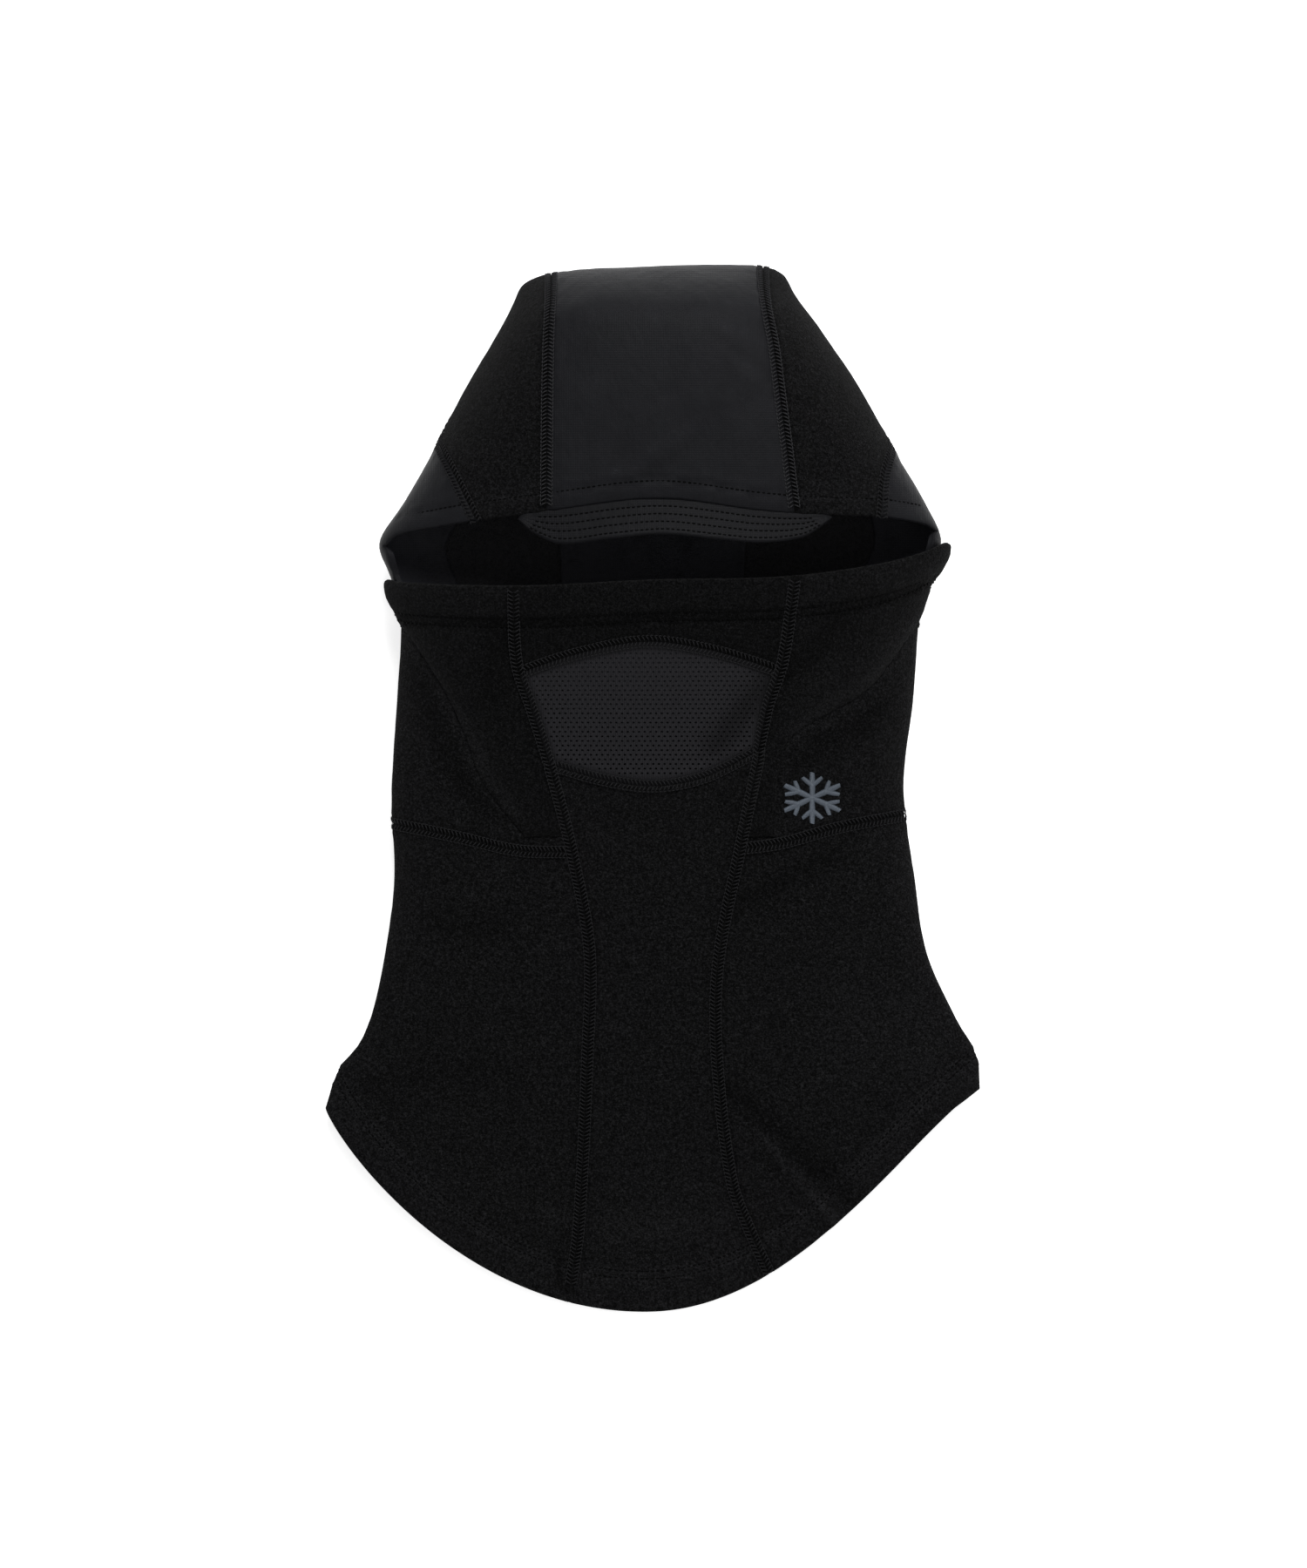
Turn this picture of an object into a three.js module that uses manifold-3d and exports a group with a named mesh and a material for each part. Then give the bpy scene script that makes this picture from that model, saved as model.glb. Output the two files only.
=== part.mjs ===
// Hinged ski balaclava, laid on its back: +X to its right side as seen from above, +Y to the
// crown, +Z up off the table, millimetres. The origin is under the middle of its outline.
//
// The hood is one thin shell cut along its seams into the panels it is sewn from. A second,
// smaller shell is the face mask, which lies over the hood and folds down about the chin. A
// short stiffened brim is sewn under the brow.

import * as THREE from 'three'
import { mergeVertices } from 'three/addons/utils/BufferGeometryUtils.js'
import Module from 'manifold-3d'

const wasm = await Module()
wasm.setup()

// ---- driving dimensions -------------------------------------------------------------------

const FABRIC = 2.2 // thickness of the fleece and of the lined nylon
const NET = 1.0 // thickness of the breathing mesh
const SEAM_GAP = 0.5 // gap between two sewn panels, under the seam thread
const FACET_SLACK = 0.02 // how far a facet may move when flat neighbours are joined
const CLEARANCE = 0.3 // least gap between neighbouring pieces

const CROWN = 239.2 // level of the top fold
const HEM = -143 // level of the hem at the side folds
const FRONT_SCOOP = 97.2 // how much lower the hem hangs at the front centre
const BACK_SCOOP = 57 // and at the back centre
const SCOOP_TOP = 10 // level above which the scoops no longer bend the rows
const HEM_TILT = 4.5 // the hem hangs lower on the left than on the right
const CROWN_TILT = 0.04 // rise of the crown fold to the right, per millimetre
const FOLD_START = 213 // level where front and back start to close into the top fold
const CORNER_START = 224 // level where the sides start to close into the top corners
const BACK_FLAT = 0.7 // share of the half width over which the back lies flat

// Half widths of the outline: level, to the left, to the right.
const OUTLINE = [
  [-143, 150.6, 150.6],
  [-127, 145, 149],
  [-111, 133.5, 140],
  [-79, 124, 126],
  [-39, 118.4, 120],
  [1, 119.6, 115.2],
  [41, 117.6, 118],
  [80, 115.5, 121],
  [97, 120.5, 127],
  [112, 124, 132],
  [129, 115.2, 125.6],
  [153, 101.2, 111.6],
  [185, 85.2, 93.2],
  [209, 72, 76.4],
  [225, 63.5, 66],
  [240, 57, 60],
]

// Height of the front above the table along the centre, by place along Y.
const FRONT_HEIGHT = [
  [-241, 10.4],
  [-215, 12.2],
  [-190, 14.8],
  [-150, 19],
  [-100, 23],
  [-50, 28],
  [-22, 32],
  [0, 35],
  [50, 44],
  [95, 52],
  [125, 60],
  [160, 62],
  [190, 58],
  [215, 48],
  [240, 34],
]

// Height of the side folds above the table, by level.
const FOLD_HEIGHT = [
  [-143, 7.5],
  [-100, 9],
  [-40, 11],
  [20, 17],
  [80, 22],
  [160, 22],
  [210, 17],
  [240, 13.5],
]

// Seams and edges on the front, as x, y.
const BROW_EDGE = [
  [-123.6, 113.4],
  [-107.6, 122.2],
  [-83.6, 124.6],
  [-48.4, 127],
  [2.4, 132.2],
  [48, 127],
  [67.6, 125.4],
  [104.4, 125.4],
  [130.4, 119.4],
]
const CROWN_SEAM_LEFT = [
  [-48.4, 127],
  [-47.8, 188],
  [-46.5, 236],
]
const CROWN_SEAM_RIGHT = [
  [64.8, 126],
  [56.8, 188],
  [50.6, 237],
]
const CROWN_SEAM_BACK = [
  [48, 220],
  [43, 100],
  [40, -10],
]
const TEMPLE_SEAM_LEFT = [
  [-98, 157],
  [-92, 145],
  [-81.6, 124.6],
]
const TEMPLE_SEAM_RIGHT = [
  [109, 153],
  [106, 142],
  [104.4, 125.4],
]
const BIB_SEAM_LEFT = [
  [-63.6, 94],
  [-62, 57],
  [-55.3, 36],
  [-46.6, 8.2],
  [-37, -29.8],
  [-29, -75],
  [-29.8, -120],
  [-34, -202],
  [-38, -231],
]
const BIB_SEAM_RIGHT = [
  [65.2, 99],
  [59.2, 57],
  [52.3, 36],
  [48, 11.8],
  [40, -28],
  [30.2, -79],
  [29.2, -120],
  [36.3, -181],
  [46.4, -208],
  [54.7, -226],
]
const NECK_SEAM_LEFT = [
  [-118, -17],
  [-88.4, -23],
  [-62, -29],
  [-37, -29.8],
]
const NECK_SEAM_RIGHT = [
  [40, -28.2],
  [59.2, -25.6],
  [85.2, -18.6],
  [115, -13],
]
const NET_TOP = [
  [-62, 50],
  [-55.8, 54],
  [-30, 62],
  [-2, 66.5],
  [26, 62.5],
  [52.5, 54.6],
  [60, 51],
]
const NET_BOTTOM = [
  [-50, 12],
  [-45.8, 10],
  [-22, 3.2],
  [0.6, 0.4],
  [22, 4],
  [42.4, 13.3],
  [50, 17],
]
const MASK_TOP = [
  [-125, 98],
  [-119, 94.5],
  [-60, 94],
  [0, 97],
  [60, 99],
  [100, 103],
  [134, 109.5],
]

// Hole for the face in the hood, mostly under the mask.
const FACE_HOLE = [
  [46, -22.6],
  [49, 0],
  [54, 18],
  [62, 32],
  [80, 47],
  [96, 63],
  [110, 80],
  [122, 94],
  [126, 104],
  [129, 115],
]
const FACE_HOLE_LEFT = [
  [-121, 107],
  [-117, 94],
  [-106, 80],
  [-88, 62],
  [-74, 38],
  [-62, 10],
  [-46, -22.6],
]

// Side edges of the mask as angles round the body: y, left, right.
const MASK_SIDES = [
  [-22, -29.2, 28.5],
  [-8, -35.7, 29],
  [5, -41, 29.5],
  [25, -46, 33.5],
  [45, -53.5, 55],
  [57, -60.5, 63.4],
  [66, -69, 72],
  [78, -79, 80],
  [90, -89, 88],
  [110, -97, 96],
]
const MASK_BOTTOM = -21.5
const MASK_STANDOFF = 1.0 // gap between the hood and the mask over it
const MASK_BULGE = 6 // how much further the mask stands off at its top centre

const BRIM_EDGE = [
  [-61, 122],
  [-54, 115.8],
  [-42, 110.9],
  [-19.2, 113.2],
  [5, 115.2],
  [29.2, 113],
  [50, 111.5],
  [68, 113.9],
  [75.9, 118.4],
  [81.6, 123],
]
const BRIM_LIFT = 6.5 // rise of the brim from root to edge at its centre
const BRIM_COVER = 0.8 // thickness of each brim cover
const BRIM_BOARD = 0.7 // thickness of the stiffener between them
const BRIM_SINK = 0.9 // the brim's top lies this far below the top of the brow
const BRIM_ROOT_GAP = 1.0 // from the brow edge to the root of the brim
const BRIM_ROWS = [0.2, 0.42, 0.64, 0.86] // stitch rows, as shares of the brim's depth

const THREAD = 0.6 // how far a seam thread stands proud of its guard gap
const FLATLOCK_WIDTH = 5.2
const COVERSTITCH_WIDTH = 4.4
const TOPSTITCH_WIDTH = 1.2
const HEM_STITCH_RISE = 16 // hem edge to the middle of its two stitch rows
const BROW_STITCH_RISE = 7.2 // brow edge to its stitch row

const LINING = 0.8 // thickness of the nylon facings
const BROW_FACING = 12 // depth of the facing behind the brow edge
const SIDE_FACING = 11 // depth of the facings beside the face hole

const BACK_SIDE_INSET = 28 // back side seams, in from the outline
const NECK_BACK_HALF = 80 // neck back seams, out from the centre
const NAPE = -18 // seam across the back between head and neck

const EMBLEM_AT = [73, -5]
const EMBLEM_SIZE = [13, 10] // half width and half height of the embroidered mark
const LABEL_SIZE = [34, 18, 0.6]
const LABEL_Y = -44

// ---- looks --------------------------------------------------------------------------------

function cloth(name, colour, roughness) {
  return new THREE.MeshStandardMaterial({ name, color: colour, roughness, metalness: 0 })
}

const fleece = cloth('fleece', 0x131313, 0.95)
const nylon = cloth('nylon', 0x1e1e21, 0.55)
const netting = cloth('netting', 0x212123, 0.8)
const thread = cloth('thread', 0x18181a, 0.6)
const board = cloth('board', 0x2a2a2c, 0.5)
const embroidery = cloth('embroidery', 0x4a5058, 0.5)
const label = cloth('label', 0x242428, 0.7)

// ---- numbers ------------------------------------------------------------------------------

const RIGHT_ANGLE = Math.PI / 2
const radians = THREE.MathUtils.degToRad
const smooth = (low, high, value) => THREE.MathUtils.smoothstep(value, low, high)
const mix = THREE.MathUtils.lerp

// Smooth curve through rows of numbers: a row's first number is the place, column is what is read.
function curve(rows, place, column = 1) {
  const last = rows.length - 1
  const at = THREE.MathUtils.clamp(place, rows[0][0], rows[last][0])
  let i = 0
  while (i < last - 1 && at > rows[i + 1][0]) i += 1
  const slope = (a, b) => (rows[b][column] - rows[a][column]) / (rows[b][0] - rows[a][0])
  const step = rows[i + 1][0] - rows[i][0]
  const t = (at - rows[i][0]) / step
  const start = step * slope(Math.max(i - 1, 0), i + 1)
  const end = step * slope(i, Math.min(i + 2, last))
  const t2 = t * t
  const t3 = t2 * t
  return (
    (2 * t3 - 3 * t2 + 1) * rows[i][column] +
    (t3 - 2 * t2 + t) * start +
    (3 * t2 - 2 * t3) * rows[i + 1][column] +
    (t3 - t2) * end
  )
}

// ---- the body surface -----------------------------------------------------------------------
// A place on it has an angle round the body, 0 at the front centre and +90 degrees at the right
// side fold, and a level, which is its height along Y before the hem scoops bend it.

const hemShare = (level) => 1 - smooth(HEM, SCOOP_TOP, level)

function lengthwise(sine, level, front) {
  const flat = 1 - sine * sine
  const frontShape = Math.pow(flat, sine < 0 ? 0.85 : 1.3)
  const scoop = front ? FRONT_SCOOP * frontShape : BACK_SCOOP * flat
  return level - hemShare(level) * (scoop - HEM_TILT * sine)
}

function place(angle, level, depth = 0) {
  const sine = Math.sin(angle)
  const front = Math.cos(angle) >= 0
  const corner = Math.max(0, (level - CORNER_START) / (CROWN - CORNER_START))
  const across = Math.pow(Math.max(0, 1 - corner ** 4), 0.25)
  const half = curve(OUTLINE, level, sine < 0 ? 1 : 2) * across
  const x = (half - depth * Math.min(1, half / 20)) * sine
  const closing = smooth(FOLD_START, CROWN, level)
  const tilt = CROWN_TILT * x * smooth(150, CROWN, level)
  const y = lengthwise(sine, level, front) + tilt - depth * closing
  const top = Math.max(0, (level - FOLD_START) / (CROWN - FOLD_START))
  const thin = Math.sqrt(Math.max(0, 1 - top * top))
  const fold = curve(FOLD_HEIGHT, level)
  const side = Math.abs(sine)
  if (front) {
    const rise = curve(FRONT_HEIGHT, y) - depth - fold
    return new THREE.Vector3(x, y, fold + rise * Math.sqrt(1 - side ** 2.6) * thin)
  }
  const bend = Math.max(0, (side - BACK_FLAT) / (1 - BACK_FLAT))
  return new THREE.Vector3(x, y, fold - (fold - depth) * Math.sqrt(1 - bend * bend) * thin)
}

// Level at which a surface reaches y at this angle.
function levelAt(angle, y, surface = place) {
  let low = HEM - 5
  let high = CROWN
  for (let i = 0; i < 36; i += 1) {
    const middle = (low + high) / 2
    if (surface(angle, middle).y < y) low = middle
    else high = middle
  }
  return (low + high) / 2
}

// Angle and level of the place seen at x, y on the front or the back of a surface.
function locate(x, y, front = true, surface = place) {
  const side = x < 0 ? -1 : 1
  let lean = Math.abs(x) < 0.01 ? 0 : 0.5
  let angle = side * lean
  let level = y
  for (let i = 0; i < 14; i += 1) {
    angle = side * (front ? lean : Math.PI - lean)
    level = levelAt(angle, y, surface)
    const reached = Math.abs(surface(angle, level).x)
    if (reached > 0.01) lean = Math.asin(Math.min(1, (Math.sin(lean) * Math.abs(x)) / reached))
  }
  return { angle, level }
}

// A place on a surface, and the body's outward direction there.
function frameAt({ angle, level }, surface = place) {
  const small = 0.004
  const along = place(angle + small, level).sub(place(angle - small, level))
  const up = place(angle, level + 0.4).sub(place(angle, level - 0.4))
  return { here: surface(angle, level), out: along.cross(up).normalize() }
}

// ---- solids ---------------------------------------------------------------------------------

function solidFrom(geometry) {
  geometry.deleteAttribute('normal')
  geometry.deleteAttribute('uv')
  const merged = mergeVertices(geometry, 1e-4)
  return new wasm.Manifold(
    new wasm.Mesh({
      numProp: 3,
      vertProperties: new Float32Array(merged.attributes.position.array),
      triVerts: new Uint32Array(merged.index.array),
    }),
  )
}

function solidFromPoints(points, triangles) {
  const geometry = new THREE.BufferGeometry()
  geometry.setAttribute('position', new THREE.Float32BufferAttribute(points.flatMap((p) => p.toArray()), 3))
  geometry.setIndex(triangles)
  return solidFrom(geometry)
}

function geometryFrom(solid) {
  const mesh = solid.getMesh()
  const geometry = new THREE.BufferGeometry()
  geometry.setAttribute('position', new THREE.BufferAttribute(mesh.vertProperties, 3))
  geometry.setIndex(new THREE.BufferAttribute(mesh.triVerts, 1))
  geometry.computeVertexNormals()
  return geometry
}

// Closed slab between two surfaces of u and v in 0..1, the first one outside.
function slab(columns, rows, outer, inner) {
  const points = []
  const triangles = []
  const width = columns + 1
  const layer = width * (rows + 1)
  for (const surface of [outer, inner]) {
    for (let j = 0; j <= rows; j += 1) {
      for (let i = 0; i <= columns; i += 1) points.push(surface(i / columns, j / rows))
    }
  }
  const quad = (a, b, c, d) => triangles.push(a, b, c, a, c, d)
  for (let j = 0; j < rows; j += 1) {
    for (let i = 0; i < columns; i += 1) {
      const a = j * width + i
      quad(a, a + 1, a + 1 + width, a + width)
      quad(layer + a, layer + a + width, layer + a + 1 + width, layer + a + 1)
    }
  }
  for (let i = 0; i < columns; i += 1) {
    const top = rows * width + i
    quad(i + 1, i, layer + i, layer + i + 1)
    quad(top, top + 1, layer + top + 1, layer + top)
  }
  for (let j = 0; j < rows; j += 1) {
    const left = j * width
    const right = left + columns
    quad(left, left + width, layer + left + width, layer + left)
    quad(right + width, right, layer + right, layer + right + width)
  }
  return solidFromPoints(points, triangles)
}

// Rectangular bar swept over the surface along a path, from above to below the surface.
function bar(frames, width, above, below) {
  const last = frames.length - 1
  const sections = frames.map(({ here, out }, i) => {
    const back = frames[Math.max(i - 1, 0)].here
    const ahead = frames[Math.min(i + 1, last)].here
    const side = ahead.clone().sub(back).cross(out).setLength(width / 2)
    const top = out.clone().multiplyScalar(above).add(here)
    const bottom = out.clone().multiplyScalar(-below).add(here)
    return [top.clone().sub(side), top.clone().add(side), bottom.clone().add(side), bottom.clone().sub(side)]
  })
  const triangles = [0, 2, 1, 0, 3, 2, 4, 5, 6, 4, 6, 7]
  for (let k = 0; k < 4; k += 1) {
    const next = (k + 1) % 4
    triangles.push(k, next, next + 4, k, next + 4, k + 4)
  }
  const pieces = []
  for (let i = 0; i < last; i += 1) pieces.push(solidFromPoints([...sections[i], ...sections[i + 1]], triangles))
  return pieces.reduce((whole, piece) => whole.add(piece))
}

// A finer path through the same places.
function refine(path, spacing = 8) {
  const scale = 70
  const line = new THREE.CatmullRomCurve3(path.map(({ angle, level }) => new THREE.Vector3(angle * scale, level, 0)))
  const count = Math.ceil(line.getLength() / spacing)
  return line.getSpacedPoints(count).map((p) => ({ angle: p.x / scale, level: p.y }))
}

// The body skin is a stack of rings, closer together where its outline bends.
const ROUND = 32
const LEVELS = [HEM, -127, -111, -88, -64, -40, -19, 1, 21, 41, 61, 80, 90, 100, 112, 129, 150, 170, 190]
for (let step = 0; step < 5; step += 1) {
  LEVELS.push(mix(210, CROWN, Math.sin((step / 5) * RIGHT_ANGLE)))
}

function skin(depth, bottom = 0) {
  const points = []
  const triangles = []
  const levels = bottom > 0 ? [HEM - bottom, ...LEVELS] : LEVELS
  levels.forEach((level) => {
    for (let i = 0; i < ROUND; i += 1) points.push(place(radians((i * 360) / ROUND), level, depth))
  })
  const pole = points.push(place(0, CROWN, depth)) - 1
  for (let j = 0; j < levels.length; j += 1) {
    for (let i = 0; i < ROUND; i += 1) {
      const a = j * ROUND + i
      const b = j * ROUND + ((i + 1) % ROUND)
      if (j === levels.length - 1) triangles.push(a, b, pole)
      else triangles.push(a, b, b + ROUND, a, b + ROUND, a + ROUND)
    }
  }
  return { points, triangles }
}

// Filled skin, closed at the hem by a strip from the front row to the back row.
function core(depth, bottom = 0) {
  const { points, triangles } = skin(depth, bottom)
  const left = ROUND - ROUND / 4
  for (let k = 0; k < ROUND / 2; k += 1) {
    const a = (left + k) % ROUND
    const b = (left + k + 1) % ROUND
    const c = left - k
    const d = left - k - 1
    if (k > 0) triangles.push(a, c, d)
    if (b !== d) triangles.push(a, d, b)
  }
  return solidFromPoints(points, triangles)
}

function shell() {
  const outer = skin(0)
  const inner = skin(FABRIC)
  const count = outer.points.length
  const triangles = [...outer.triangles]
  for (let i = 0; i < inner.triangles.length; i += 3) {
    const [a, b, c] = inner.triangles.slice(i, i + 3)
    triangles.push(a + count, c + count, b + count)
  }
  for (let i = 0; i < ROUND; i += 1) {
    const j = (i + 1) % ROUND
    triangles.push(j, i, i + count, j, i + count, j + count)
  }
  return solidFromPoints([...outer.points, ...inner.points], triangles)
}

// Upright prism over an outline of x, y points, above the table by floor.
function prism(outline, floor = 24) {
  const shape = new THREE.Shape(outline.map(([x, y]) => new THREE.Vector2(x, y)))
  const body = new THREE.ExtrudeGeometry(shape, { depth: 60, bevelEnabled: false })
  return solidFrom(body.translate(0, 0, floor))
}

// ---- seam paths -----------------------------------------------------------------------------

// Places along a path of x, y points, as angle and level, about one every spacing.
function route(points, spacing = 18, surface = place) {
  const line = new THREE.CatmullRomCurve3(points.map(([x, y]) => new THREE.Vector3(x, y, 0)))
  const count = Math.max(3, Math.ceil(line.getLength() / spacing))
  return line.getSpacedPoints(count).map((p) => locate(p.x, p.y, true, surface))
}

// A crown seam: up the front, over the top fold and down the back to the nape.
function crownRoute(frontPoints, mirror) {
  const steps = 22
  const path = []
  const low = frontPoints[0][1]
  const byLength = frontPoints.map(([x, y]) => [y, x])
  const backByLength = CROWN_SEAM_BACK.map(([x, y]) => [y, mirror * x]).reverse()
  const topX = frontPoints[frontPoints.length - 1][0]
  const side = Math.sign(topX) * RIGHT_ANGLE
  let topLevel = CORNER_START
  while (topLevel < CROWN && Math.abs(place(side, topLevel).x) > Math.abs(topX)) topLevel += 0.05
  const topY = place(side, topLevel).y
  for (let i = 0; i <= steps; i += 1) {
    const turn = (i / steps) * Math.PI
    const front = turn < RIGHT_ANGLE
    const y = mix(front ? low : NAPE, topY, Math.sin(turn))
    const share = smooth(200, topY, y)
    const x = mix(curve(front ? byLength : backByLength, y), topX, share)
    if (Math.abs(turn - RIGHT_ANGLE) < 1e-6) path.push({ angle: side, level: topLevel })
    else path.push(locate(x, y, front))
  }
  return path
}

// Places on the hem, or a stated rise above it, between two angles in degrees.
function hemRoute(from, to, rise, steps) {
  const path = []
  for (let i = 0; i <= steps; i += 1) {
    const angle = radians(mix(from, to, i / steps))
    path.push({ angle, level: levelAt(angle, place(angle, HEM).y + rise) })
  }
  return path
}

// Stretches both ends of a path by a little, so that a cut runs out past its neighbours.
function overrun(frames, start, end) {
  const stretched = frames.map(({ here, out }) => ({ here: here.clone(), out }))
  const last = stretched.length - 1
  const lead = frames[0].here.clone().sub(frames[1].here).setLength(start)
  const tail = frames[last].here.clone().sub(frames[last - 1].here).setLength(end)
  stretched[0].here.add(lead)
  stretched[last].here.add(tail)
  return stretched
}

function kerf(path, start = 0.8, end = 0.8, surface = place) {
  const frames = path.map((spot) => frameAt(spot, surface))
  return bar(overrun(frames, start, end), SEAM_GAP, 3, FABRIC + 1.4)
}

// ---- the hood -------------------------------------------------------------------------------

const crownLeft = crownRoute(CROWN_SEAM_LEFT, -1)
const crownRight = crownRoute(CROWN_SEAM_RIGHT, 1)
const templeTopLeft = { angle: -RIGHT_ANGLE, level: 165 }
const templeTopRight = { angle: RIGHT_ANGLE, level: 158 }
const templeLeft = refine([templeTopLeft, ...route(TEMPLE_SEAM_LEFT)])
const templeRight = refine([templeTopRight, ...route(TEMPLE_SEAM_RIGHT)])
const bibLeft = route(BIB_SEAM_LEFT)
const bibRight = route(BIB_SEAM_RIGHT)
const neckLeft = [{ angle: -RIGHT_ANGLE, level: -16 }, ...route(NECK_SEAM_LEFT)]
const neckRight = [...route(NECK_SEAM_RIGHT), { angle: RIGHT_ANGLE, level: -12.5 }]

// Seam across the back from the left fold to the right fold.
function napeRoute() {
  const path = [{ angle: -RIGHT_ANGLE, level: -16 }]
  for (const x of [-112, -100, -80, -40, 0.001, 40, 80, 97, 108]) {
    path.push(locate(x, NAPE + 2 * Math.abs(x / 110) ** 2, false))
  }
  path.push({ angle: RIGHT_ANGLE, level: -12.5 })
  const around = path.map(({ angle, level }) => ({ angle: angle > 0 ? angle - 2 * Math.PI : angle, level }))
  return refine(around, 16)
}

// Seam down the back, inside the side fold, from the temple's top to the nape.
function backSideRoute(side, top) {
  const path = [{ angle: side * RIGHT_ANGLE, level: top }]
  for (const [drop, inset] of [[9, 0.35], [22, 0.75], [40, 1], [60, 1], [85, 1], [110, 1], [135, 1]]) {
    const level = top - drop
    const edge = Math.abs(place(side * RIGHT_ANGLE, level).x)
    path.push(locate(side * (edge - BACK_SIDE_INSET * inset), level, false))
  }
  path.push(locate(side * 90, NAPE + 1.3, false))
  return refine(path, 12)
}

// Seam between temple and cheek, from the face hole round the fold to the back side seam.
function templeCheekRoute(side) {
  const level = 76
  const edge = Math.abs(place(side * RIGHT_ANGLE, level).x)
  const hole = side < 0 ? 103 : 106
  const path = [locate(side * hole, 78), locate(side * (edge - 4), 77), { angle: side * RIGHT_ANGLE, level }]
  for (const inset of [3, 9, 18, BACK_SIDE_INSET]) path.push(locate(side * (edge - inset), level - 1, false))
  return refine(path)
}

// Seams down the back of the neck, from the nape to the hem.
function neckBackRoute(side) {
  const path = []
  for (const y of [-17, -50, -85, -120, -150]) path.push(locate(side * NECK_BACK_HALF, y, false))
  const foot = Math.PI - Math.asin(NECK_BACK_HALF / 150.6)
  path.push({ angle: side * foot, level: HEM - 3 })
  return path
}

function faceHole() {
  const brow = route(BROW_EDGE).map(({ angle, level }) => place(angle, level))
  const left = [...FACE_HOLE_LEFT].reverse()
  const right = [...FACE_HOLE].reverse()
  return prism([...left, ...brow.map((p) => [p.x, p.y]), ...right])
}

// The piece of a cut shell that holds the place at this angle in degrees and level.
function pieceAt(pieces, angle, level, surface = place) {
  const probe = new THREE.OctahedronGeometry(0.5)
  const spot = surface(radians(angle), level, FABRIC / 2)
  const seed = solidFrom(probe.translate(spot.x, spot.y, spot.z))
  const found = pieces.find((piece) => piece.intersect(seed).volume() > 0.01)
  if (!found) throw new Error(`no panel at ${angle}, ${level}`)
  return found
}

function hoodPanels() {
  const cuts = [
    kerf(crownLeft),
    kerf(crownRight),
    kerf(templeLeft, 0.6, 2),
    kerf(templeRight, 0.6, 2),
    kerf(bibLeft.filter(({ level }) => level < 30), 2, 6),
    kerf(bibRight.filter(({ level }) => level < 30), 2, 6),
    kerf(neckLeft),
    kerf(neckRight),
    kerf(napeRoute()),
    kerf(backSideRoute(-1, templeTopLeft.level)),
    kerf(backSideRoute(1, templeTopRight.level)),
    kerf(templeCheekRoute(-1), 4, 0.8),
    kerf(templeCheekRoute(1), 4, 0.8),
    kerf(neckBackRoute(-1)),
    kerf(neckBackRoute(1)),
    faceHole(),
  ]
  const pieces = cuts.reduce((left, cut) => left.subtract(cut), shell()).decompose()
  return {
    crown_center_panel: [pieceAt(pieces, 0, 180), nylon],
    crown_side_left: [pieceAt(pieces, -60, 180), fleece],
    crown_side_right: [pieceAt(pieces, 60, 180), fleece],
    temple_panel_left: [pieceAt(pieces, -80, 135), nylon],
    temple_panel_right: [pieceAt(pieces, 80, 135), nylon],
    cheek_panel_left: [pieceAt(pieces, -90, 20), fleece],
    cheek_panel_right: [pieceAt(pieces, 90, 20), fleece],
    neck_side_left: [pieceAt(pieces, -80, -80), fleece],
    neck_side_right: [pieceAt(pieces, 80, -80), fleece],
    neck_back_panel: [pieceAt(pieces, 180, -60), fleece],
    bib_lower_panel: [pieceAt(pieces, 0, -80), fleece],
  }
}

// ---- pieces that lie on the hood or line it ---------------------------------------------------

// Layer of the filled skin between two depths.
const layer = (top, bottom) => core(top, 3).subtract(core(bottom, 6))

const threadLayer = layer(-CLEARANCE - THREAD, -CLEARANCE)
const liningLayer = layer(FABRIC + CLEARANCE + 0.1, FABRIC + CLEARANCE + 0.1 + LINING)

// Thread of a seam on the hood: the strip of the thread layer that lies along its path.
function hoodThread(path, width) {
  const frames = path.map((spot) => frameAt(spot))
  return biggest(bar(frames, width, 3, 1.5).intersect(threadLayer))
}

function biggest(solid) {
  return solid.decompose().reduce((best, piece) => (piece.volume() > best.volume() ? piece : best))
}

// The stretch of a path between two places along Y that is clear of the table.
function trim(path, low, high, surface = place) {
  const inside = refine(path, 2).filter(({ angle, level }) => {
    const { y, z } = surface(angle, level)
    return y > low && y < high && z > 1.6
  })
  return refine(inside, 18)
}

function browLine(rise, from, to) {
  const line = route(BROW_EDGE, 12).map(({ angle, level }) => place(angle, level))
  return line.filter((p) => p.x > from && p.x < to).map((p) => [p.x, p.y + rise])
}

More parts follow.
